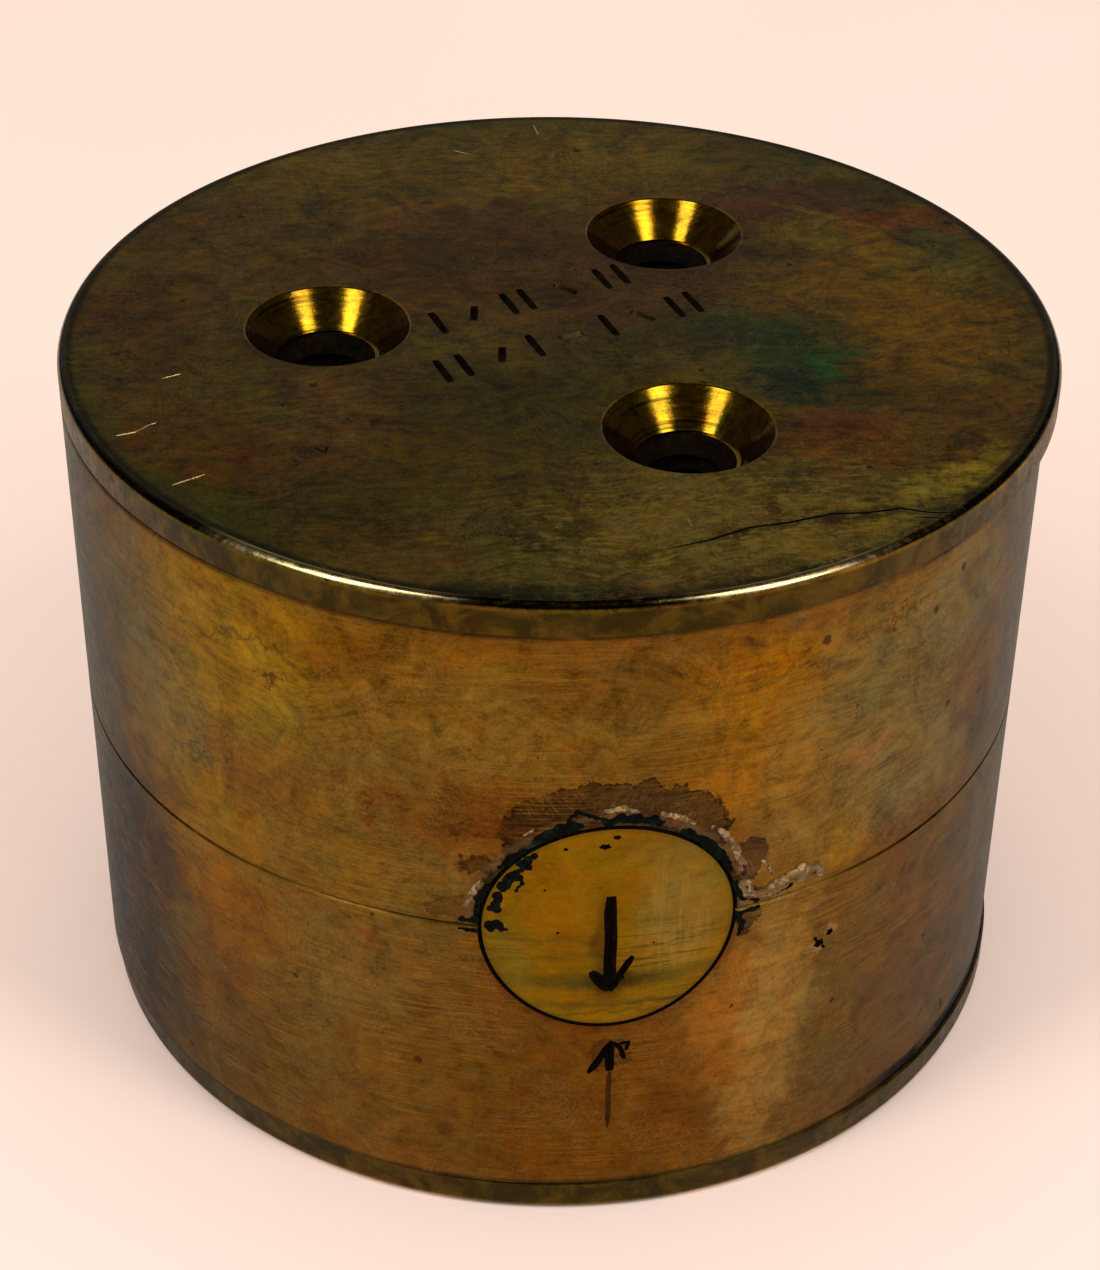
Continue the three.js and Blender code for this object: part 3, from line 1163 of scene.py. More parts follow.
        # Painted shade: both ends of the wall darkened where they meet the covers.
        ends = r.math("MAXIMUM", r.span(height, high - 0.5, high - 0.1), r.span(height, low + 0.5, low + 0.1))
        colour = r.over(colour, ends, 0.75, "2a1c0c")
        # Painted shadow: near-black bands on the right, just above the bottom cover and just below the top
        # cover.
        reach = r.times(r.span(arc, 15.0, 24.0), r.span(arc, 70.0, 45.0))
        painted_shadow_bands = r.math("MAXIMUM", r.span(height, low + 1.3, low + 0.8),
                        r.span(height, high - 0.9, high - 0.5))
        return r.mix(r.times(reach, painted_shadow_bands), colour, srgb("080402"))


@dataclass(frozen=True)
class PlainBrass(Finish):
    """Machined brass without the wall's long history: inner faces, holes, pins, screws and cones."""

    name: str
    colours: tuple[str, str, str]
    roughness: float
    squeeze: tuple[float, float, float]
    line_colour: str = "4a3412"
    line_strength: float = 0.3
    film: str | None = None
    blotches: float = 0.4

    def dress(self, r: Painter) -> None:
        """Lay the colours and the relief.

        Args:
            r: The material's painter.
        """
        place = r.millimetres()
        colour = r.tarnish(place, self.colours, 0.28)
        colour, grain, _ = r.weather(colour, place, place, self.blotches, 3.0)
        streaks = r.streaked(place, self.squeeze, 0.12)
        dark = r.times(streaks.outputs["Dark"], self.line_strength)
        colour = r.mix(dark, colour, srgb(self.line_colour))
        rough = r.roughen(grain, self.roughness * 0.8, self.roughness * 1.25)
        metal: object = 1.0
        if self.film:
            patchy = r.span(r.noise(place, 0.35, 5.0, 0.65).outputs[0], 0.5, 0.56)
            colour = r.mix(patchy, colour, srgb(self.film))
            rough = r.math("MAXIMUM", rough, r.times(patchy, 0.85))
            metal = r.minus(1.0, patchy)
        r.surface(colour, rough, metal)
        r.emboss(r.plus(streaks.outputs["Height"], r.times(grain, 0.4)), 0.25, 0.04)


PLUG_SPOTS = (
    Spot(-3.0, 3.0, 3.5, 3.5, "795802", 0.6),
    Spot(4.2, 0.8, 2.3, 4.2, "826d2e", 0.65),
    Spot(3.4, 5.6, 2.5, 1.6, "6c5d1d", 0.6),
    Spot(0.0, -4.0, 7.5, 0.6, "4c420e", 0.7),
    Spot(-4.0, -0.7, 3.0, 0.16, "5c4e0e", 0.6),
    Spot(-2.0, -2.1, 4.5, 0.14, "5c4e0e", 0.5),
    Spot(0.0, -5.9, 5.0, 0.22, "544610", 0.6),
    Spot(0.0, -6.6, 4.0, 0.12, "544610", 0.6),
    Spot(-6.0, -3.0, 1.4, 3.0, "665a1a", 0.5),
    Spot(0.5, -4.3, 2.6, 0.6, "1e1808", 0.45),
    Spot(-0.3, -1.2, 0.7, 3.4, "2a220a", 0.55),
    Spot(0.2, -4.4, 1.4, 1.1, "1c1608", 0.6),
)


@dataclass(frozen=True)
class PlugBrass(Finish):
    """The plug's bright outer face, with dark level streaks below the middle."""

    wall: Wall
    name: str = "plug_brass"

    def dress(self, r: Painter) -> None:
        """Lay the colours and the relief.

        Args:
            r: The material's painter.
        """
        place = r.millimetres()
        x, _, z = r.split(place)
        flat = r.join(r.minus(x, self.wall.x), r.minus(z, self.wall.parting))
        colour = r.tarnish(place, ("795d03", "7b5602", "715d08"), 0.2)
        colour = r.paint(colour, r.ragged(place, flat, 0.0, 0.5, 0.5), PLUG_SPOTS)
        colour, grain, _ = r.weather(colour, place, flat, 0.42, 2.0)
        streaks = r.streaked(place, (0.2, 0.2, 3.4), 0.1)
        low = r.span(r.split(flat)[1], 1.0, -2.0, 0.05, 0.75)
        colour = r.mix(r.times(streaks.outputs["Dark"], low), colour, srgb("3a300c"))
        brushed = r.times(r.streaked(place, (2.6, 2.6, 0.2), 0.1).outputs["Dark"],
                          r.oval(flat, (4.0, 0.5), (2.4, 4.2), 0.4).outputs["Mask"])
        colour = r.over(colour, brushed, 0.3, "98843c")
        colour = r.over(colour, r.specks(place, 0.9, 0.1, 0.16), 0.8, "2c1c08")
        edge = r.span(r.vector("LENGTH", flat), 7.2, 7.5)
        colour = r.over(colour, edge, 0.4, "4a3c10")
        r.surface(colour, r.roughen(grain, 0.34, 0.5))
        r.emboss(r.plus(r.times(streaks.outputs["Height"], 0.5), grain), 0.3, 0.05)


@dataclass(frozen=True)
class Crumbly(Finish):
    """Dull crusts: plaster, verdigris and the dirt that fills a cut; also the painted shade inside the tapped
    holes.
    """

    name: str
    colours: tuple[str, str, str]
    scale: float = 1.4
    shine: float = 0.1

    def dress(self, r: Painter) -> None:
        """Lay the colours and the relief.

        Args:
            r: The material's painter.
        """
        place = r.millimetres()
        colour = r.tarnish(place, self.colours, self.scale)
        r.feed(r.shader, "Base Color", r.weather(colour, place, place, 0.6, 3.0)[0])
        r.shader.inputs["Roughness"].default_value = 0.9
        r.shader.inputs["Specular IOR Level"].default_value = self.shine
        r.emboss(r.noise(place, 6.0, 6.0, 0.7).outputs[0], 0.8, 0.12)


COVER_SPOTS = (
    Spot(-18, 12, 13, 12, "77531d", 0.55),
    Spot(-26, 1, 3.5, 9, "6b4312", 0.6),
    Spot(-3, 9, 11, 6.5, "683f19", 0.75, turn=15),
    Spot(-6, 11, 4, 3, "543f13", 0.6),
    Spot(3, 23.5, 9, 5, "9a751a", 0.7),
    Spot(-16, 24, 9, 4, "947221", 0.6),
    Spot(6, 4, 9, 3.5, "653f22", 0.7, turn=25),
    Spot(-16, -2, 8, 5, "544713", 0.6),
    Spot(-4, -9, 8, 5.5, "47420b", 0.75),
    Spot(-10, -19, 10, 7, "564303", 0.6),
    Spot(-24, -13, 4, 5.5, "724205", 0.75),
    Spot(-20, -16, 3.5, 3, "663d04", 0.6),
    Spot(-23, -20, 8, 2.6, "4f5003", 0.65, turn=-42),
    Spot(4, -3, 5, 3, "483f1a", 0.6),
    Spot(15.5, -5, 5, 4.5, "3b5023", 0.9),
    Spot(16, -6.8, 1.5, 1.7, "2d7021", 0.8),
    Spot(12.5, -9, 2, 2.4, "2f4028", 0.85),
    Spot(10, -1.5, 3, 2, "394024", 0.7),
    Spot(20, -9, 3.5, 3.5, "594812", 0.7),
    Spot(15, 11, 6, 3.5, "482a0e", 0.7, turn=20),
    Spot(17, 16, 5, 3, "77422b", 0.7),
    Spot(20, 9.5, 5, 3, "9a7819", 0.85, turn=-30),
    Spot(18, 4, 5, 3, "926518", 0.7, turn=20),
    Spot(24.5, 5, 3, 4, "7c7923", 0.75),
    Spot(24, 12, 4, 2.5, "914914", 0.8),
    Spot(22, 17, 3.5, 2, "523f1f", 0.7),
    Spot(26, 9, 2, 2.5, "57632f", 0.6),
    Spot(23, -1.5, 5.5, 8, "99690d", 0.8),
    Spot(21, -15, 6, 3.5, "7e5115", 0.7),
    Spot(16, -17, 4, 2.6, "925d12", 0.85),
    Spot(15, -14, 3.5, 2, "7b3e1c", 0.7),
    Spot(20, -21.5, 6, 1.6, "c8ab2d", 0.7, turn=35),
    Spot(4, -23, 6, 4.5, "9e7913", 0.7),
    Spot(12, -26, 7, 2.6, "af861f", 0.6, turn=15),
    Spot(8, 27, 7, 2.5, "766126", 0.5),
    Spot(26, 20, 3, 4, "625b21", 0.6, turn=40),
)

COVER_MARKS_AND_DARK_REFLECTION = (
    Spot(7, -25.5, 5.5, 0.4, "2c200a", 0.6, turn=14),
    Spot(12.5, -24.3, 5.5, 0.55, "241a08", 0.65, turn=6),
    Spot(18.5, -23.9, 4.0, 0.5, "241a08", 0.6, turn=-4),
    # Painted reflection: this near-black band along the front corner stands for the dark surroundings
    # reflected there.
    Spot(-5, -30.1, 8, 0.7, "0e0a04", 0.8, turn=-8),
    Spot(-12.5, -11, 0.5, 0.4, "2c200a", 0.6),
    Spot(-15.9, -14, 1.1, 0.6, "2a1e0a", 0.5),
    Spot(24.5, 9.5, 2.0, 0.25, "3c2a0c", 0.6, turn=-50),
    Spot(20, 13.5, 3.5, 0.3, "a8842c", 0.6, turn=-35),
    Spot(-9, 17.5, 3.5, 0.4, "8a6a24", 0.5, turn=30),
)

# Tarnish spots on the unrolled wall. The golden ones near arcs -24 and +10 also paint the lamps' vertical
# highlight bands, and the grey ones near arcs -46 to -41 and 34 to 40 paint the grey-blue sheen of grazing
# reflection.
WALL_TARNISH_AND_PAINTED_SHEEN = (
    Spot(-24, 43, 7, 3.6, "82650a", 0.85),
    Spot(-22, 37.5, 6.5, 4.5, "856e12", 0.8),
    Spot(-14, 33.5, 7, 4.5, "68531f", 0.8),
    Spot(-30, 33, 4, 6, "796a31", 0.7),
    Spot(-12, 42.5, 9, 2.4, "704a03", 0.7),
    Spot(-6, 38, 9, 4.5, "7a5d1c", 0.75),
    Spot(-7, 31.5, 6, 2.5, "693b07", 0.7),
    Spot(-26.5, 26, 4.5, 3.6, "7e5f0d", 0.85),
    Spot(-18, 27.5, 4, 3.5, "6f5716", 0.6),
    Spot(-13, 25.5, 5, 2.4, "6f571b", 0.6),
    Spot(-25, 19.5, 5, 3, "795104", 0.85),
    Spot(-17, 17, 6, 4, "6b5626", 0.7),
    Spot(-24, 9, 6, 5, "57461a", 0.6),
    Spot(-34, 19, 3.5, 5, "463124", 0.75),
    Spot(-33, 8, 4, 5, "433a21", 0.7),
    Spot(-33, 38, 3.5, 6, "605a34", 0.7),
    Spot(2, 41.5, 9, 2.5, "644714", 0.7),
    Spot(9, 40, 4.5, 3, "8d5c04", 0.9),
    Spot(8, 35.5, 3.5, 4.5, "885e0d", 0.85),
    Spot(2, 36, 6, 1.6, "6c4a10", 0.6),
    Spot(11.5, 32, 2.4, 5.5, "806527", 0.75),
    Spot(19, 37, 6, 5.5, "726534", 0.75),
    Spot(18, 42.5, 6, 1.6, "755b1f", 0.6),
    Spot(25, 40, 4, 4, "746b3f", 0.6),
    Spot(15.5, 26.6, 2.4, 2.2, "886910", 0.7),
    Spot(21, 30, 6, 4.5, "786a3a", 0.7),
    Spot(16.5, 32.5, 2, 1, "80592e", 0.6),
    Spot(-2, 11, 11, 7.5, "653f06", 0.75),
    Spot(-11, 12, 5, 5.5, "644a17", 0.7),
    Spot(0, 4, 9, 2, "633f04", 0.6),
    Spot(8, 15.5, 2.8, 5, "8d5f1d", 0.85),
    Spot(11.5, 15.5, 2.2, 8, "8d7134", 0.75),
    Spot(17.5, 17, 3.4, 6, "61491c", 0.8),
    Spot(24, 14, 6, 9, "654921", 0.75),
    Spot(17, 6, 5, 3.6, "5f4e23", 0.7),
    # Painted reflection: grey-blue sheen down both sides of the wall, where it turns away.
    Spot(-41.5, 24, 5, 30, "46492f", 0.7, soft=0.7),
    Spot(-46, 20, 4, 28, "3c4030", 0.55, soft=0.7),
    Spot(34, 24, 5, 30, "625c42", 0.65, soft=0.7),
    Spot(40, 24, 4.5, 30, "585a46", 0.55, soft=0.7),
    Spot(-21, 40.4, 9, 0.32, "594707", 0.7, soft=0.5),
    Spot(8, 40.1, 10, 0.25, "54450f", 0.5, soft=0.5),
    Spot(-27.5, 30.2, 2.2, 0.22, "4d502e", 0.8, soft=0.4, turn=14),
    Spot(-14.5, 31, 0.35, 0.8, "5f3305", 0.9, soft=0.3, turn=25),
    Spot(-21, 38.1, 0.4, 0.25, "4f3405", 0.9, soft=0.3, turn=-30),
    # Painted highlight: the lower part of the vertical highlight band at arc 10.
    Spot(10, 8, 2.0, 8, "937133", 0.75),
    Spot(-38, 11, 5, 12, "31271a", 0.75),
    Spot(22, 12, 5, 10, "624927", 0.55),
    Spot(27.5, 12, 4, 12, "675332", 0.5),
    Spot(19, 41.4, 2.2, 0.18, "533206", 0.8, soft=0.4),
)


@dataclass(frozen=True)
class Finishes:
    """Every material of the flask, made once."""

    top_cover: bpy.types.Material
    bottom_cover: bpy.types.Material
    wall: bpy.types.Material
    punched: bpy.types.Material
    scored: bpy.types.Material
    inner: bpy.types.Material
    chamber: bpy.types.Material
    cone: bpy.types.Material
    tapped: bpy.types.Material
    plug: bpy.types.Material
    bright: bpy.types.Material
    pin: bpy.types.Material
    screw: bpy.types.Material
    grime: bpy.types.Material
    plaster: bpy.types.Material
    verdigris: bpy.types.Material

    @classmethod
    def mixed(cls, wall: Wall, bore_radius: float) -> Finishes:
        """Make every material.

        Args:
            wall: The body's wall.
            bore_radius: Radius of the plug's bore.

        Returns:
            The finishes.
        """
        groups = Groups()
        level, even = (0.06, 0.06, 4.0), (1.2, 1.2, 1.2)
        top, bottom = Turned.of("top_cover"), Turned.of("bottom_cover")
        looks: dict[str, Finish] = {
            "top_cover": CoverBrass("top_cover_brass", top, True, COVER_SPOTS, COVER_MARKS_AND_DARK_REFLECTION),
            "bottom_cover": CoverBrass("bottom_cover_brass", bottom, False),
            "wall": WallBrass(wall, bore_radius, WALL_TARNISH_AND_PAINTED_SHEEN),
            "punched": PlainBrass("punched_brass", ("362a10", "483414", "241c0e"), 0.34, even, blotches=0.7),
            "scored": Crumbly("scored_dirt", ("3c2206", "321a04", "482c0a"), shine=0.05),
            "inner": PlainBrass("inner_brass", ("a8873e", "a87c34", "9a8448"), 0.34, even),
            "chamber": PlainBrass("chamber_brass", ("8c7440", "86683a", "7c7048"), 0.5, level, film="b8a88c"),
            "cone": PlainBrass("cone_brass", ("8e6a12", "8a5a10", "7c6418"), 0.13, level, "2c1c06", 0.8,
                               blotches=0.9),
            # Painted shade: the tapped holes are dull and near-black, standing in for the shade deep inside
            # them.
            "tapped": Crumbly("tapped_hole_painted_shade", ("0d0803", "140c04", "070502"), shine=0.02),
            "plug": PlugBrass(wall),
            "bright": PlainBrass("bright_scratch", ("e2c880", "d8bc70", "e0d0a0"), 0.3, even),
            "pin": PlainBrass("pin_brass", ("bc9c50", "b48c3c", "ac9a5c"), 0.26, level),
            "screw": PlainBrass("screw_brass", ("a0843c", "94702c", "8a7c44"), 0.3, even),
            "grime": Crumbly("packed_grime", ("0a0602", "120a03", "060402"), shine=0.03),
            "plaster": Crumbly("plaster_crust", ("6c5436", "2c1c0e", "a48a62"), shine=0.03),
            "verdigris": Crumbly("verdigris_crust", ("070704", "0a0e08", "0a1c12"), 2.0, shine=0.05),
        }
        return cls(**{part: look.build(groups) for part, look in looks.items()})


# ---------------------------------------------------------------- geometry node trees


class FormTree:
    """A geometry node tree with named inputs, applied by a modifier and baked at once."""

    KINDS = {"g": "NodeSocketGeometry", "f": "NodeSocketFloat", "i": "NodeSocketInt",
             "m": "NodeSocketMaterial"}

    def __init__(self, name: str, inputs: Sequence[tuple[str, str]]) -> None:
        """Make the empty tree with its sockets.

        Args:
            name: Name of the tree.
            inputs: Name and kind of each input after the geometry.
        """
        self.tree = bpy.data.node_groups.new(name, "GeometryNodeTree")
        self.tree.interface.new_socket("Geometry", in_out="OUTPUT", socket_type=self.KINDS["g"])
        self.identifiers = {}
        for label, kind in (("Geometry", "g"), *inputs):
            socket = self.tree.interface.new_socket(label, in_out="INPUT", socket_type=self.KINDS[kind])
            self.identifiers[label] = socket.identifier
        self.recipe = Recipe(self.tree)
        self.start = self.recipe.add("NodeGroupInput")
        self.end = self.recipe.add("NodeGroupOutput")

    def close(self, geometry: bpy.types.NodeSocket) -> None:
        """End the tree in Realize Instances and Set Material.

        Args:
            geometry: The last geometry.
        """
        realized = self.recipe.add("GeometryNodeRealizeInstances", {"Geometry": geometry})
        inputs = {"Geometry": realized.outputs[0], "Material": self.start.outputs["Material"]}
        dressed = self.recipe.add("GeometryNodeSetMaterial", inputs)
        self.tree.links.new(dressed.outputs[0], self.end.inputs[0])

    def grow(self, base: bpy.types.Object, values: dict[str, object]) -> bpy.types.Object:
        """Run the tree on an object and keep the plain mesh.

        Args:
            base: The object, whose mesh is the tree's geometry.
            values: Input name to value.

        Returns:
            The same object with its new mesh.
        """
        modifier = base.modifiers.new("form", "NODES")
        modifier.node_group = self.tree
        for label, value in values.items():
            modifier[self.identifiers[label]] = value
        return bake(base)


class ThreadForm(FormTree):
    """A round bar with a helical thread, upright about Z and centred on the origin."""

    def __init__(self) -> None:
        """Build the tree."""
        super().__init__("thread_form", [("Core", "f"), ("Rise", "f"), ("Pitch", "f"), ("Length", "f"),
                                         ("Sides", "i"), ("Rings", "i"), ("Material", "m")])
        r, given = self.recipe, self.start.outputs
        inputs = {"Vertices": given["Sides"], "Side Segments": given["Rings"], "Radius": given["Core"],
                  "Depth": given["Length"]}
        bar = r.add("GeometryNodeMeshCylinder", inputs).outputs["Mesh"]
        x, y, z = r.split(r.add("GeometryNodeInputPosition").outputs[0])
        turn = r.math("DIVIDE", r.math("ARCTAN2", y, x), 2 * math.pi)
        phase = r.plus(r.math("DIVIDE", z, given["Pitch"]), turn)
        rise = r.times(r.times(r.math("PINGPONG", phase, 0.5), 2.0), given["Rise"])
        scale = r.plus(1.0, r.math("DIVIDE", rise, given["Core"]))
        moved = r.join(r.times(x, scale), r.times(y, scale), z)
        self.close(r.add("GeometryNodeSetPosition", {"Geometry": bar, "Position": moved}).outputs[0])

    def bar(self, core: float, rise: float, pitch: float, length: float,
            material: bpy.types.Material) -> bpy.types.Object:
        """Make a threaded bar, in working millimetres.

        Args:
            core: Radius at the thread's root.
            rise: Height of the thread.
            pitch: Pitch of the thread.
            length: Length of the bar.
            material: Its material.

        Returns:
            The bar, with its mesh in millimetres.
        """
        made = bpy.data.objects.new("thread", bpy.data.meshes.new("thread"))
        bpy.context.scene.collection.objects.link(made)
        values = {"Core": core, "Rise": rise, "Pitch": pitch, "Length": length, "Sides": 40,
                  "Rings": round(length / pitch * 8), "Material": material}
        return self.grow(made, values)


class CrustForm(FormTree):
    """Lumps of crust along the edges of a mesh, each as wide as its point's girth."""

    def __init__(self) -> None:
        """Build the tree."""
        super().__init__("crust_form", [("Step", "f"), ("Stray", "f"), ("Seed", "i"), ("Material", "m")])
        r, given = self.recipe, self.start.outputs
        line = r.add("GeometryNodeMeshToCurve", {"Mesh": given["Geometry"]}).outputs[0]
        resample = r.add("GeometryNodeResampleCurve", {"Curve": line, "Length": given["Step"]}, mode="LENGTH")
        girth = r.add("GeometryNodeInputNamedAttribute", {"Name": "girth"}, data_type="FLOAT").outputs[0]
        inputs = {"Min": (-1.0, -1.0, -0.2), "Max": (1.0, 1.0, 0.2), "Seed": given["Seed"]}
        stray = r.add("FunctionNodeRandomValue", inputs, data_type="FLOAT_VECTOR").outputs[0]
        reach = r.vector("MULTIPLY", stray, r.join(*(r.times(girth, given["Stray"]),) * 3))
        inputs = {"Geometry": resample.outputs[0], "Offset": reach}
        strewn = r.add("GeometryNodeSetPosition", inputs).outputs[0]
        inputs = {2: 0.3, 3: 0.62, "Seed": given["Seed"]}
        size = r.add("FunctionNodeRandomValue", inputs, data_type="FLOAT").outputs[1]
        lump = r.add("GeometryNodeMeshIcoSphere", {"Radius": 1.0, "Subdivisions": 2}).outputs[0]
        inputs = {"Points": strewn, "Instance": lump, "Scale": r.join(*(r.times(girth, size),) * 3)}
        self.close(r.add("GeometryNodeInstanceOnPoints", inputs).outputs[0])


# ---------------------------------------------------------------- sub-assemblies


@dataclass(frozen=True)
class ScrewPattern:
    """The screw holes that both covers and both halves share."""

    circle: float = 14.8
    angles: tuple[float, ...] = (175.0, 55.0, -65.0)
    mouth: float = 5.25
    half_angle: float = 41.0
    tapped: float = 2.75
    tapped_depth: float = 12.5
    tapped_break: float = 0.6
    pitch: float = 1.06
    thread_rise: float = 0.5

    def places(self, axis: float, over: bool) -> list[Point]:
        """Return the holes' places in plan, for a piece about an axis, turned over or not.

        Args:
            axis: The axis, as x.
            over: True for a piece turned over.

        Returns:
            The places.
        """
        side = -1 if over else 1
        angles = [math.radians(a) for a in self.angles]
        return [(axis + side * self.circle * math.cos(a), self.circle * math.sin(a)) for a in angles]

    @property
    def slope(self) -> float:
        """Return how fast a countersink widens."""
        return math.tan(math.radians(self.half_angle))


def settle(made: bpy.types.Object, node: str, body: Body) -> bpy.types.Object:
    """Put a finished piece in its node's place.

    Args:
        made: The piece.
        node: Its node.
        body: Its body.

    Returns:
        The same piece.
    """
    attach(made, body.value)
    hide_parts(node)
    LOG.info("%s: %d faces, for %s", made.name, len(made.data.polygons), node)
    return made


@dataclass
class Cover:
    """A flat round cover with a rounded edge and three countersunk holes."""

    node: str
    body: Body
    face_up: bool
    hole_axis: float
    finish: bpy.types.Material
    finishes: Finishes
    pattern: ScrewPattern
    edge_round: float = 0.55
    edge_break: float = 0.15
    mouth_break: float = 0.09
    sides: int = 360

    def build(self) -> bpy.types.Object:
        """Make the cover and put it in its node's place.

        Returns:
            The cover.
        """
        at = Turned.of(self.node)
        thick = at.high - at.low
        place = Matrix.Translation((at.x, at.y, at.low))
        if not self.face_up:
            place = turned_over(Vector((at.x, at.y, at.high)))
        made = finish_mesh(self._blank(at.radius, thick), f"{self.node}_turned", [self.finish], place)
        combine(made, self._countersinks(place.translation.z, thick))
        if self.face_up:
            self._mark(made, at.high)
        return settle(smooth(made), self.node, self.body)

    def _blank(self, radius: float, thick: float) -> bmesh.types.BMesh:
        """Turn the cover, lying on z = 0 with its outer face up.

        Args:
            radius: Radius of the cover.
            thick: Its thickness.

        Returns:
            The mesh.
        """
        rounded = quarter((radius - self.edge_round, thick - self.edge_round), self.edge_round, 0, 90, 10)
        profile = Profile().run([(0, 0), (radius - 1, 0), (radius - self.edge_break, 0)])
        profile.run([(radius, self.edge_break), (radius, self.edge_break + 0.2)])
        profile.run(rounded).run([(radius - self.edge_round - 0.25, thick), (radius - 3, thick), (0, thick)])
        return profile.lathe(self.sides)

    def _countersinks(self, base: float, thick: float) -> bpy.types.Object:
        """Make the tool for the three countersunk holes, in one mesh.

        Args:
            base: Height of the cover's inner face.
            thick: Its thickness.

        Returns:
            The tool.
        """
        past, slope, lip = 1.0, self.pattern.slope, self.mouth_break
        throat = self.pattern.mouth - thick * slope
        mouth = self.pattern.mouth
        outline = [(0, -past), (throat, -past), (throat, 0.12), (mouth - lip * slope, thick - lip),
                   (mouth + lip, thick), (mouth + lip + past, thick + past), (0, thick + past)]
        tools = bmesh.new()
        for x, y in self.pattern.places(self.hole_axis, not self.face_up):
            tool = Profile().run(outline).lathe(HOLE_SIDES)
            place = Matrix.Translation((x, y, base))
            if not self.face_up:
                place = turned_over(Vector((x, y, base)))
            bmesh.ops.transform(tool, matrix=place, verts=tool.verts)
            join_into(tools, tool)
        return finish_mesh(tools, "countersinks", [self.finishes.cone])

    def _mark(self, made: bpy.types.Object, top: float) -> None:
        """Cut the tally marks and the scratches into the outer face.

        Args:
            made: The cover.
            top: Height of its outer face.
        """
        def surface(x: float, y: float, lift: float) -> Vector:
            """Return the point over a place on the face."""
            return Vector((x, y, top + lift))

        engrave(made, tally_marks(), surface, self.finishes.punched)
        engrave(made, DARK_SCRATCHES, surface, self.finishes.grime)
        engrave(made, LIGHT_SCRATCHES, surface, self.finishes.bright)


def join_into(mesh: bmesh.types.BMesh, other: bmesh.types.BMesh) -> None:
    """Add one working mesh to another and free it.

    Args:
        mesh: The mesh that grows.
        other: The mesh that is used up.
    """
    data = bpy.data.meshes.new("part")
    other.to_mesh(data)
    other.free()
    mesh.from_mesh(data)
    bpy.data.meshes.remove(data)


TALLY_TILT = math.radians(24)
TALLY_ROWS = (
    ((-7.2, -0.2), ((0, 2.9, 8), (2.6, 1.9, 30), (5.2, 2.9, 8), (6.5, 2.9, 8), (9.4, 1.9, -20),
                    (12.2, 2.9, 8), (13.6, 2.9, 8))),
    ((-7.4, -6.4), ((0, 2.9, 8), (1.5, 2.9, 8), (4.2, 1.9, 30), (6.6, 2.9, 8), (9.2, 1.7, 90), (12.0, 2.9, 8),
                    (14.6, 1.9, -20), (17.0, 2.9, 8), (18.4, 2.9, 8))),
)


def tally_marks(above: float = 1.2, width: float = 0.52, depth: float = 0.27) -> list[Stroke]:
    """Return two slanting rows of plain chisel ticks: single, paired and level ones.

    Args:
        above: How far the ticks' middles stand above the start of their row.
        width: Width of a tick.
        depth: Depth of a tick.

    Returns:
        The ticks. Each is given in its row as its place along it, its length and its lean in degrees.
    """
    cos, sin = math.cos(TALLY_TILT), math.sin(TALLY_TILT)
    strokes = []
    for (x0, y0), ticks in TALLY_ROWS:
        for along, length, lean in ticks:
            angle = TALLY_TILT + math.radians(90 - lean)
            x, y = x0 + along * cos - above * sin, y0 + along * sin + above * cos
            dx, dy = math.cos(angle) * length / 2, math.sin(angle) * length / 2
            strokes.append(Stroke(((x - dx, y - dy), (x + dx, y + dy)), width, depth, ends=0.75))
    return strokes


DARK_SCRATCHES = (
    Stroke(((3, -26.5), (5.4, -25.9), (8, -24.8), (10.2, -24.5), (13, -23.8), (15, -23.9), (17, -23.6),
            (18.6, -24.2), (20.4, -24.4)), 0.2, 0.09),
    Stroke(((17.6, -24.6), (19.4, -24.9), (21, -24.3)), 0.13, 0.06),
    Stroke(((-16.2, -13.7), (-15.6, -14.3), (-15.4, -13.6)), 0.15, 0.07),
)

LIGHT_SCRATCHES = (
    Stroke(((-27.9, -11.2), (-26.8, -10.9), (-26, -10.2)), 0.13, 0.05),
    Stroke(((-26.1, -10.2), (-25.5, -9.9)), 0.1, 0.04),
    Stroke(((-25.2, -4.6), (-24, -4.1)), 0.1, 0.04),
    Stroke(((-24.6, -17.1), (-22.7, -16.1)), 0.11, 0.04),
    Stroke(((4.6, -22.9), (4.75, -24.4)), 0.14, 0.06),
    Stroke(((1.7, 28.2), (1.5, 29.9)), 0.12, 0.04),
    Stroke(((-4.6, 26.2), (-3.2, 25.2)), 0.1, 0.04),
)


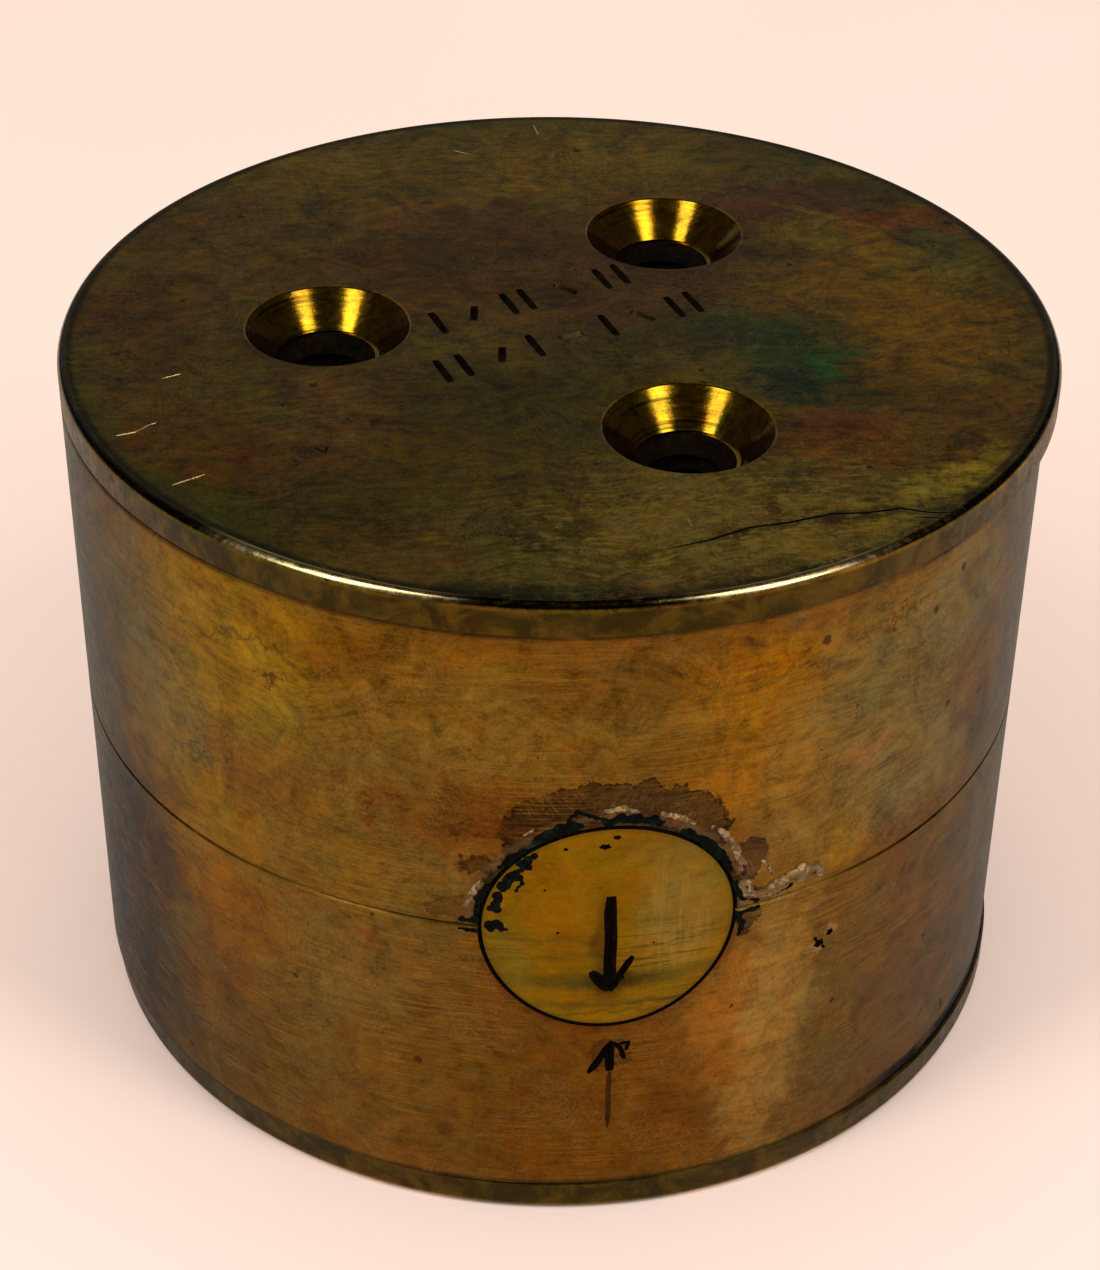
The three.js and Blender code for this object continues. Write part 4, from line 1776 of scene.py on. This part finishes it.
@dataclass
class Half:
    """A thick brass ring that is one half of the body, with its share of the plug's stepped bore."""

    node: str
    body: Body
    upper: bool
    wall: Wall
    finishes: Finishes
    pattern: ScrewPattern
    threads: ThreadForm
    pins: PinSet
    plug: PlugSizes
    chamber: float = 10.0
    mouth_break: float = 0.5
    groove_depth: float = 0.9
    groove_width: float = 2.4
    groove_height: float = 12.5
    edge_break: float = 0.25
    rim_break: float = 0.12
    sides: int = 360

    def build(self) -> bpy.types.Object:
        """Make the half and put it in its node's place.

        Returns:
            The half.
        """
        at = Turned.of(self.node)
        place = Matrix.Translation((at.x, 0, at.low))
        if self.upper:
            place = turned_over(Vector((at.x, 0, at.high)))
        skins = [self.finishes.wall, self.finishes.inner, self.finishes.chamber]
        made = finish_mesh(self._ring(at.high - at.low), f"{self.node}_turned", skins, place)
        combine(made, self.plug.bore_tool(self.wall, self.finishes.inner))
        combine(made, rim_tool(self.wall, self.plug.radius + self.plug.clearance, self.rim_break,
                               self.finishes.grime))
        self._drill(made, place)
        if not self.upper:
            engrave(made, WALL_ARROW, self.wall.point, self.finishes.grime)
            engrave(made, WALL_TAIL, self.wall.point, self.finishes.scored)
            combine(made, pits_tool(WALL_PITS, self.wall.point, self.finishes.grime))
        return settle(smooth(made), self.node, self.body)

    def _ring(self, high: float) -> bmesh.types.BMesh:
        """Turn the ring, lying on z = 0 with its parting face up.

        Args:
            high: Height of the ring.

        Returns:
            The mesh.
        """
        wall_slot, inner_slot, chamber_slot = 0, 1, 2
        outer, bore, leg = self.wall.radius, self.chamber, self.edge_break
        low = self.groove_height - self.groove_width / 2
        top = self.groove_height + self.groove_width / 2
        profile = Profile().run([(bore + self.mouth_break, 0)], chamber_slot)
        profile.run([(outer - leg - 0.3, 0), (outer - leg, 0)], inner_slot)
        profile.run([(outer - leg * 0.12, leg * 0.12), (outer, leg * 0.4), (outer, leg + 0.3)], wall_slot)
        profile.run([(outer, high - leg), (outer, high - leg / 2)], wall_slot)
        profile.run([(outer - leg / 2, high)], wall_slot)
        profile.run([(outer - leg, high), (bore, high)], inner_slot)
        profile.run([(bore, top + self.groove_depth), (bore + self.groove_depth, top)], chamber_slot)
        profile.run([(bore + self.groove_depth, low), (bore, low - self.groove_depth)], chamber_slot)
        profile.run([(bore, self.mouth_break)], chamber_slot)
        return profile.lathe(self.sides, closed=True)

    def _drill(self, made: bpy.types.Object, place: Matrix) -> None:
        """Cut the tapped holes from the outer end and the pin holes from the parting face.

        Args:
            made: The half.
            place: Where the ring stands, in millimetres.
        """
        pattern = self.pattern
        core = pattern.tapped - pattern.thread_rise
        mouth = pattern.tapped + pattern.tapped_break
        outline = [(0, -1), (mouth + 1, -1), (core, mouth - core), (core, pattern.tapped_depth),
                   (0, pattern.tapped_depth + 0.6 * core)]
        drills, taps = bmesh.new(), bmesh.new()
        for x, y in pattern.places(0.0, True):
            drill = Profile().run(outline).lathe(DRILL_SIDES)
            bmesh.ops.translate(drill, vec=(x, y, 0), verts=drill.verts)
            join_into(drills, drill)
            tap = self.threads.bar(core - 0.02, pattern.thread_rise + 0.02, pattern.pitch,
                                   pattern.tapped_depth + 0.5, self.finishes.tapped)
            tap.data.transform(Matrix.Translation((x, y, pattern.tapped_depth / 2 - 0.75)))
            taps.from_mesh(tap.data)
            discard(tap)
        for face in taps.faces:
            face.material_index = 0
        combine(made, finish_mesh(drills, "drills", [self.finishes.tapped], place))
        combine(made, finish_mesh(taps, "taps", [self.finishes.tapped], place))
        holes = bmesh.new()
        for x, y in self.pins.places():
            join_into(holes, self.pins.hole_tool(self.wall.x + x, y, self.wall.parting, self.upper))
        combine(made, finish_mesh(holes, "holes", [self.finishes.inner]))


@dataclass(frozen=True)
class PlugSizes:
    """The stepped plug and the bore that it fits."""

    radius: float = 7.62
    nose: float = 6.0
    clearance: float = 0.1
    shoulder: float = 17.5
    inner_end: float = 8.2
    edge_break: float = 0.3
    cup_radius: float = 3.2
    cup_depth: float = 3.0

    def bore_tool(self, wall: Wall, material: bpy.types.Material) -> bpy.types.Object:
        """Make the tool for the stepped bore.

        Args:
            wall: The wall.
            material: Material of the bore.

        Returns:
            The tool.
        """
        nose, radius = self.nose + self.clearance, self.radius + self.clearance
        step = self.shoulder - self.clearance
        end = wall.radius + 2
        outline = [(0, 0), (nose, 0), (nose, step), (radius, step), (radius, end), (0, end)]
        tool = Profile().run(outline).lathe(BORE_SIDES)
        return finish_mesh(tool, "bore", [material], to_front(wall.parting, wall.x))


@dataclass
class Plug:
    """The stepped side plug, whose outer face follows the wall."""

    wall: Wall
    sizes: PlugSizes
    finishes: Finishes
    rim_break: float = 0.06

    def build(self) -> bpy.types.Object:
        """Make the plug and put it in its node's place.

        Returns:
            The plug.
        """
        place = to_front(self.wall.parting, self.wall.x)
        made = finish_mesh(self._blank(), "side_plug_turned", [self.finishes.inner], place)
        reach = self.sizes.radius + 2
        drum = Profile().run([(0, -reach), (self.wall.radius, -reach), (self.wall.radius, reach), (0, reach)])
        at = Matrix.Translation((self.wall.x, 0, self.wall.parting))
        combine(made, finish_mesh(drum.lathe(360), "drum", [self.finishes.plug], at), "INTERSECT")
        combine(made, rim_tool(self.wall, self.sizes.radius, self.rim_break, self.finishes.grime))
        combine(made, finish_mesh(self._cup(), "cup", [self.finishes.chamber], place))
        engrave(made, PLUG_ARROW, self.wall.point, self.finishes.grime)
        combine(made, pits_tool(PLUG_PITS, self.wall.point, self.finishes.grime))
        return settle(smooth(made), "side_plug", Body.PLUG)

    def _blank(self) -> bmesh.types.BMesh:
        """Turn the stepped plug about Z.

        Returns:
            The mesh.
        """
        s = self.sizes
        nose = quarter((s.nose - s.edge_break, s.inner_end + s.edge_break), s.edge_break, -90, 0, 4)
        profile = Profile().run([(0, s.inner_end), (s.nose - s.edge_break - 0.2, s.inner_end)]).run(nose)
        profile.run([(s.nose, s.shoulder), (s.radius - s.edge_break, s.shoulder)])
        profile.run([(s.radius, s.shoulder + s.edge_break), (s.radius, self.wall.radius + 1)])
        return profile.run([(0, self.wall.radius + 1)]).lathe(BORE_SIDES)

    def _cup(self) -> bmesh.types.BMesh:
        """Turn the tool for the cup in the inner end, with a rounded bottom edge.

        Returns:
            The mesh.
        """
        s = self.sizes
        deep = s.inner_end + s.cup_depth
        bottom = quarter((s.cup_radius - 0.5, deep - 0.5), 0.5, 0, 90, 5)
        profile = Profile().run([(0, s.inner_end - 1), (s.cup_radius + 1.2, s.inner_end - 1)])
        return profile.run([(s.cup_radius, s.inner_end + 0.2)]).run(bottom).run([(0, deep)]).lathe(PIN_SIDES)


PLUG_ARROW = (
    Stroke(((0.05, 26.1), (0.02, 24.6), (0.1, 22.8), (0.06, 20.9), (0.12, 18.8)), 0.78, 0.34, ends=0.75),
    Stroke(((0.12, 18.6), (0.7, 19.9), (1.45, 21.3)), 0.5, 0.26, ends=0.5),
    Stroke(((0.05, 18.7), (-0.5, 19.4), (-1.05, 20.3)), 0.7, 0.22, ends=0.5),
    Stroke(((-0.85, 19.7), (0.1, 19.9), (1.0, 19.6)), 0.4, 0.12, ends=0.3),
)

PLUG_PITS = (
    Pit(-0.4, 29.9, 0.34, 0.2),
    Pit(0.3, 30.55, 0.24, 0.16),
    Pit(-2.7, 29.8, 0.14, 0.12),
    Pit(-3.1, 23.4, 0.1, 0.1),
    Pit(-3.9, 26.7, 0.09, 0.08),
    Pit(2.7, 22.2, 0.08, 0.07),
)

WALL_ARROW = (
    Stroke(((0.35, 14.5), (-0.15, 13.6), (-0.55, 12.8), (-1.1, 11.9)), 0.5, 0.26, ends=0.4),
    Stroke(((0.25, 14.3), (0.2, 13.2), (0.25, 12.0)), 0.6, 0.3, ends=0.7),
    Stroke(((0.4, 14.4), (0.85, 13.9), (1.15, 12.9)), 0.36, 0.2, ends=0.5),
    Stroke(((0.7, 14.2), (1.4, 14.3), (1.2, 13.6)), 0.28, 0.16, ends=0.5),
)

WALL_TAIL = (Stroke(((0.24, 12.2), (0.2, 10.2), (0.24, 8.6), (0.2, 7.1)), 0.36, 0.08, ends=0.25),)

WALL_PITS = (
    Pit(14.0, 18.6, 0.36, 0.3),
    Pit(14.8, 19.15, 0.26, 0.24),
    Pit(14.35, 18.2, 0.1, 0.09),
    Pit(13.7, 19.1, 0.1, 0.12),
)


@dataclass(frozen=True)
class PinSet:
    """The three guide pins, pressed into the lower half, and the holes that take them."""

    radius: float = 2.0
    clearance: float = 0.08
    circle: float = 22.0
    angles: tuple[float, ...] = (35.0, 150.0, 232.0)
    spare: float = 0.8
    mouth_break: float = 0.25
    foot_break: float = 0.3
    dome: float = 0.55

    def places(self) -> list[Point]:
        """Return the pins' places in plan, from the body's axis."""
        angles = [math.radians(a) for a in self.angles]
        return [(self.circle * math.cos(a), self.circle * math.sin(a)) for a in angles]

    def hole_tool(self, x: float, y: float, parting: float, upper: bool) -> bmesh.types.BMesh:
        """Make the tool for one hole, from the parting face into a half.

        Args:
            x: The hole's x.
            y: Its y.
            parting: Height of the parting face.
            upper: True for a hole in the upper half.

        Returns:
            The tool's mesh.
        """
        pin = Turned.of("guide_pin_1")
        depth = self.spare + (pin.high - parting if upper else parting - pin.low)
        radius, leg = self.radius + self.clearance, self.mouth_break
        outline = [(0, -1), (radius + leg + 1, -1), (radius, leg), (radius, depth), (0, depth)]
        tool = Profile().run(outline).lathe(PIN_SIDES)
        down = Matrix.Rotation(math.pi, 4, "X") if not upper else Matrix()
        bmesh.ops.transform(tool, matrix=Matrix.Translation((x, y, parting)) @ down, verts=tool.verts)
        return tool

    def build(self, material: bpy.types.Material) -> None:
        """Make the pins, with domed tips, and put them in their nodes' places.

        Args:
            material: Material of the pins.
        """
        for i in range(len(self.angles)):
            node = f"guide_pin_{i + 1}"
            at = Turned.of(node)
            long, leg = at.high - at.low, self.foot_break
            turns = [math.radians(90 - 9 * k) for k in range(10)]
            tip = [(self.radius * math.sin(a), long - self.dome * (1 - math.cos(a))) for a in turns]
            profile = Profile().run([(0, 0), (self.radius - leg - 0.2, 0), (self.radius - leg, 0)])
            profile.run([(self.radius, leg), (self.radius, leg + 0.2), (self.radius, long - 1.2)])
            profile.run([*tip, (0, long)])
            place = Matrix.Translation((at.x, at.y, at.low))
            made = finish_mesh(profile.lathe(PIN_SIDES), f"{node}_turned", [material], place)
            settle(smooth(made), node, Body.LOWER)


@dataclass(frozen=True)
class ScrewSet:
    """The slotted flat-head screws of the bottom cover."""

    pattern: ScrewPattern
    threads: ThreadForm
    finishes: Finishes
    head: float = 5.0
    shank: float = 2.6
    shank_length: float = 9.5
    slot_width: float = 1.3
    slot_depth: float = 1.25
    slot_turns: tuple[float, ...] = (20.0, 75.0, -40.0)

    def build(self) -> None:
        """Make the screws and put them in their nodes' places."""
        for i, turn in enumerate(self.slot_turns):
            node = f"bottom_screw_{i + 1}"
            at = Turned.of(node)
            made = finish_mesh(self._head(), f"{node}_turned", [self.finishes.screw])
            combine(made, self._shank(), "UNION")
            combine(made, self._slot())
            place = Matrix.Translation(Vector((at.x, at.y, at.low)) * MM)
            made.data.transform(place @ Matrix.Rotation(math.radians(turn), 4, "Z"))
            settle(smooth(made, 28), node, Body.LOWER)

    def _head(self) -> bmesh.types.BMesh:
        """Turn the head and the screw's core, pointing up from z = 0.

        Returns:
            The mesh.
        """
        neck = (self.head - self.shank) / self.pattern.slope
        core = self.shank - self.pattern.thread_rise
        long = neck + self.shank_length
        profile = Profile().run([(0, 0), (self.head - 0.5, 0), (self.head - 0.12, 0), (self.head, 0.12)])
        profile.run([(self.shank, neck), (self.shank, neck + 0.8), (core, neck + 1.2)])
        return profile.run([(core, long - 0.8), (core - 0.8, long), (0, long)]).lathe(SCREW_SIDES)

    def _shank(self) -> bpy.types.Object:
        """Make the threaded length.

        Returns:
            The threaded length.
        """
        neck = (self.head - self.shank) / self.pattern.slope
        rise = self.pattern.thread_rise
        long = self.shank_length - 1.8
        made = self.threads.bar(self.shank - rise - 0.03, rise + 0.02, self.pattern.pitch, long,
                                self.finishes.screw)
        made.data.transform(Matrix.Scale(MM, 4) @ Matrix.Translation((0, 0, neck + 1.0 + long / 2)))
        return made

    def _slot(self) -> bpy.types.Object:
        """Make the tool for the driver's slot.

        Returns:
            The tool.
        """
        tool = bmesh.new()
        bmesh.ops.create_cube(tool, size=1.0)
        bmesh.ops.scale(tool, vec=(3 * self.head, self.slot_width, 2 * self.slot_depth), verts=tool.verts)
        return finish_mesh(tool, "slot", [self.finishes.grime])


# ---------------------------------------------------------------- crusts around the plug


@dataclass(frozen=True)
class Trail:
    """A line of crust on the wall. Each point is (arc, height, girth)."""

    points: tuple[tuple[float, float, float], ...]


@dataclass
class Crust:
    """The crusts of one kind on one body."""

    name: str
    body: Body
    slot: str
    trails: tuple[Trail, ...]
    wall: Wall
    form: CrustForm
    material: bpy.types.Material
    seed: int
    flatness: float = 0.55
    step: float = 0.14
    stray: float = 0.22
    voxel: float = 0.075
    waves: tuple[tuple[float, float], ...] = ((0.05, 3.1), (0.03, 9.0))

    def build(self) -> bpy.types.Object:
        """Make the crust: lumps along each trail, melted into one skin and laid on the wall.

        Returns:
            The crust.
        """
        made = self._lines()
        values = {"Step": self.step, "Stray": self.stray, "Seed": self.seed, "Material": self.material}
        self.form.grow(made, values)
        melt = made.modifiers.new("melt", "REMESH")
        melt.mode = "VOXEL"
        melt.voxel_size = self.voxel
        bake(made)
        self._wrap(made)
        made.data.materials.clear()
        made.data.materials.append(self.material)
        for face in made.data.polygons:
            face.use_smooth = True
        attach(made, self.body.value)
        LOG.info("%s: %d faces", self.name, len(made.data.polygons))
        return made

    def _lines(self) -> bpy.types.Object:
        """Make the trails as edges, with the girth on each point.

        Returns:
            The object.
        """
        data = bpy.data.meshes.new(self.name)
        points, edges, girths = [], [], []
        for trail in self.trails:
            first = len(points)
            points += [(arc, height, 0.0) for arc, height, _ in trail.points]
            girths += [girth for _, _, girth in trail.points]
            edges += [(first + i, first + i + 1) for i in range(len(trail.points) - 1)]
        data.from_pydata(points, edges, [])
        data.attributes.new("girth", "FLOAT", "POINT").data.foreach_set("value", girths)
        made = bpy.data.objects.new(self.name, data)
        bpy.context.scene.collection.objects.link(made)
        return made

    def _wrap(self, made: bpy.types.Object) -> None:
        """Roughen the skin and lay it on the wall, in metres.

        Args:
            made: The crust.
        """
        mesh = bmesh.new()
        mesh.from_mesh(made.data)
        for vert in mesh.verts:
            arc, height, lift = vert.co
            lift *= self.flatness
            for size, scale in self.waves:
                lift += size * noise.noise(vert.co * scale)
            vert.co = self.wall.point(arc, height, lift) * MM
        bmesh.ops.recalc_face_normals(mesh, faces=mesh.faces)
        mesh.to_mesh(made.data)
        mesh.free()


UPPER_PLASTER = (
    Trail(((8.2, 25.6, 0.6), (8.7, 24.8, 0.75), (9.6, 24.35, 0.7), (10.5, 24.5, 0.8), (11.2, 25.1, 0.9),
           (12.0, 25.0, 0.95), (13.0, 25.0, 0.8), (13.7, 24.5, 0.5))),
    Trail(((-8.6, 25.2, 0.35), (-8.1, 26.3, 0.45), (-7.6, 27.2, 0.35))),
    Trail(((-0.4, 32.5, 0.3), (0.5, 32.7, 0.4), (1.5, 32.3, 0.3))),
    Trail(((2.9, 32.0, 0.35), (4.1, 31.5, 0.4), (4.9, 30.9, 0.3))),
    Trail(((6.2, 30.3, 0.4), (6.9, 29.7, 0.45), (7.6, 28.4, 0.5), (8.1, 27.0, 0.5), (8.3, 26.2, 0.4))),
    Trail(((-5.2, 30.8, 0.2), (-4.6, 31.2, 0.25))),
    Trail(((9.4, 26.9, 0.25), (9.9, 26.2, 0.3), (10.2, 25.7, 0.25))),
)

UPPER_VERDIGRIS = (
    Trail(((-4.5, 30.3, 0.45), (-3.6, 31.0, 0.7), (-2.7, 31.35, 0.75), (-1.9, 31.6, 0.5))),
    Trail(((-2.6, 31.9, 0.3), (-2.1, 32.6, 0.35), (-1.2, 32.2, 0.3), (-0.5, 31.9, 0.3))),
    Trail(((-0.4, 31.7, 0.5), (0.5, 31.9, 0.6), (1.4, 31.8, 0.6), (2.3, 31.6, 0.55), (3.0, 31.3, 0.4))),
    Trail(((4.3, 30.5, 0.45), (5.2, 29.8, 0.6), (6.0, 29.0, 0.65), (6.8, 27.9, 0.6), (7.3, 26.8, 0.4))),
    Trail(((7.7, 25.7, 0.4), (8.0, 24.7, 0.5), (9.2, 24.0, 0.35), (10.4, 24.0, 0.3), (11.6, 24.3, 0.3))),
    Trail(((-8.0, 24.6, 0.3), (-7.8, 25.9, 0.5), (-7.2, 26.9, 0.35))),
    Trail(((-6.6, 28.2, 0.3), (-5.9, 29.0, 0.45), (-5.1, 29.7, 0.35))),
    Trail(((-9.0, 24.0, 0.35), (-8.0, 24.1, 0.55))),
)

LOWER_VERDIGRIS = (
    Trail(((8.1, 23.0, 0.45), (8.35, 22.3, 0.5), (8.1, 21.5, 0.3))),
    Trail(((8.0, 23.3, 0.4), (9.4, 23.35, 0.35))),
    Trail(((-9.0, 23.3, 0.3), (-8.0, 23.25, 0.35))),
)

PLUG_FLAKES = (
    Trail(((-7.0, 25.0, 0.45), (-6.7, 25.8, 0.7))),
    Trail(((-6.5, 26.5, 0.6), (-6.0, 27.3, 0.75), (-5.5, 27.9, 0.5))),
    Trail(((-5.3, 28.4, 0.6), (-4.6, 29.2, 0.45))),
    Trail(((-7.35, 23.7, 0.5), (-6.7, 23.75, 0.7), (-6.2, 23.6, 0.3))),
    Trail(((-5.6, 26.7, 0.25), (-5.1, 27.3, 0.3))),
)


def crusts(wall: Wall, finishes: Finishes) -> list[Crust]:
    """Return the crusts that cling around the plug.

    Args:
        wall: The wall.
        finishes: The finishes.

    Returns:
        The crusts.
    """
    form, green = CrustForm(), "verdigris"
    return [
        Crust("plaster_crust_upper", Body.UPPER, "plaster_residue", UPPER_PLASTER, wall, form,
              finishes.plaster, 3),
        Crust("verdigris_upper", Body.UPPER, green, UPPER_VERDIGRIS, wall, form, finishes.verdigris, 11,
              flatness=0.35),
        Crust("verdigris_lower", Body.LOWER, green, LOWER_VERDIGRIS, wall, form, finishes.verdigris, 19,
              flatness=0.3),
        Crust("flakes_on_plug", Body.PLUG, green, PLUG_FLAKES, wall, form, finishes.verdigris, 5,
              flatness=0.25, stray=0.5),
    ]


# ---------------------------------------------------------------- studio


@dataclass(frozen=True)
class Softbox:
    """A rectangular light that faces a target. Sizes are in millimetres and degrees."""

    name: str
    azimuth: float
    elevation: float
    distance: float
    width: float
    height: float
    power: float
    colour: str = "ffffff"

    def build(self, target: Vector) -> None:
        """Make the light. Azimuth 0 is in front, along -Y, and grows towards +X.

        Args:
            target: What it faces, in millimetres.
        """
        data = bpy.data.lights.new(self.name, "AREA")
        data.shape = "RECTANGLE"
        data.size = self.width * MM
        data.size_y = self.height * MM
        data.energy = self.power
        data.color = srgb(self.colour)[:3]
        made = bpy.data.objects.new(self.name, data)
        bpy.context.scene.collection.objects.link(made)
        azimuth, elevation = math.radians(self.azimuth), math.radians(self.elevation)
        flat = math.cos(elevation)
        away = Vector((math.sin(azimuth) * flat, -math.cos(azimuth) * flat, math.sin(elevation)))
        made.location = (target + away * self.distance) * MM
        made.rotation_euler = (-away).to_track_quat("-Z", "Y").to_euler()
        made.visible_camera = False


@dataclass(frozen=True)
class Studio:
    """The camera, the lights, the floor and the surroundings. The camera's place is in cover radii."""

    radius: float
    top: float
    aside: float = -0.60254
    back: float = -4.9261
    above: float = 2.7129
    lens: float = 79.36
    heading: float = 6.835
    pitch: float = 35.0
    roll: float = 0.716
    softboxes: tuple[Softbox, ...] = (
        Softbox("left_softbox", -59, 45, 400, 100, 290, 0.58),
        Softbox("right_softbox", 45, 45, 400, 100, 290, 0.58),
        Softbox("back_glow", 178, 35, 600, 900, 500, 0.3),
    )
    floor_reach: float = 3000.0
    ambient: Colour = (0.78, 0.775, 0.77, 1.0)
    reflected: Colour = (0.045, 0.042, 0.04, 1.0)

    def camera(self) -> None:
        """Make the camera: it stands in front, a little to the left, and looks down."""
        data = bpy.data.cameras.new("camera")
        data.lens = self.lens
        data.sensor_width = 36.0
        data.clip_start = 0.01
        data.clip_end = 10.0
        made = bpy.data.objects.new("camera", data)
        bpy.context.scene.collection.objects.link(made)
        r = self.radius
        place = Vector((self.aside * r, self.back * r, self.top + self.above * r)) * MM
        turn = Matrix.Rotation(math.radians(-self.heading), 4, "Z")
        turn = turn @ Matrix.Rotation(math.radians(90 - self.pitch), 4, "X")
        turn = turn @ Matrix.Rotation(math.radians(self.roll), 4, "Z")
        made.matrix_world = Matrix.Translation(place) @ turn
        bpy.context.scene.camera = made

    def floor(self) -> None:
        """Make the plain pale floor."""
        mesh = bmesh.new()
        bmesh.ops.create_grid(mesh, x_segments=1, y_segments=1, size=self.floor_reach)
        r = Painter("pale_floor")
        shade = r.noise(r.millimetres(), 0.004, 3.0).outputs[0]
        colour = r.mix(r.span(shade, 0.35, 0.65), srgb("f9dccb"), srgb("fbe0d1"))
        r.feed(r.shader, "Base Color", colour)
        r.shader.inputs["Roughness"].default_value = 0.9
        r.shader.inputs["Specular IOR Level"].default_value = 0.0
        finish_mesh(mesh, "floor", [r.material])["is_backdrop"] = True

    def world(self) -> None:
        """Make the surroundings: pale for soft light, dim in reflections."""
        world = bpy.data.worlds.new("studio")
        world.use_nodes = True
        bpy.context.scene.world = world
        r = Recipe(world.node_tree)
        glossy = r.add("ShaderNodeLightPath").outputs["Is Glossy Ray"]
        colour = r.mix(glossy, self.ambient, self.reflected)
        r.feed(world.node_tree.nodes["Background"], "Color", colour)

    def build(self) -> None:
        """Set the whole studio up."""
        self.camera()
        self.floor()
        self.world()
        for softbox in self.softboxes:
            softbox.build(Vector((0, 0, self.top * 0.75)))
        bpy.context.scene.view_settings.view_transform = "Standard"


# ---------------------------------------------------------------- the whole flask


def main() -> None:
    """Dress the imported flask."""
    logging.basicConfig(level=logging.INFO, format="%(name)s: %(message)s")
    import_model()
    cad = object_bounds()
    low, high = (corner / MM for corner in cad)
    Studio((high.x - low.x) / 2, high.z).build()

    wall, plug, pins, pattern = Wall.measured(), PlugSizes(), PinSet(), ScrewPattern()
    finishes = Finishes.mixed(wall, plug.radius + plug.clearance)
    threads = ThreadForm()
    top_axis = Turned.of("top_cover").x
    Cover("top_cover", Body.LID, True, top_axis, finishes.top_cover, finishes, pattern).build()
    Cover("bottom_cover", Body.LOWER, False, wall.x, finishes.bottom_cover, finishes, pattern).build()
    for node, body, upper in (("upper_half", Body.UPPER, True), ("lower_half", Body.LOWER, False)):
        Half(node, body, upper, wall, finishes, pattern, threads, pins, plug).build()
    Plug(wall, plug, finishes).build()
    pins.build(finishes.pin)
    ScrewSet(pattern, threads, finishes).build()
    for crust in crusts(wall, finishes):
        crust.build()


if __name__ == "__main__":
    main()
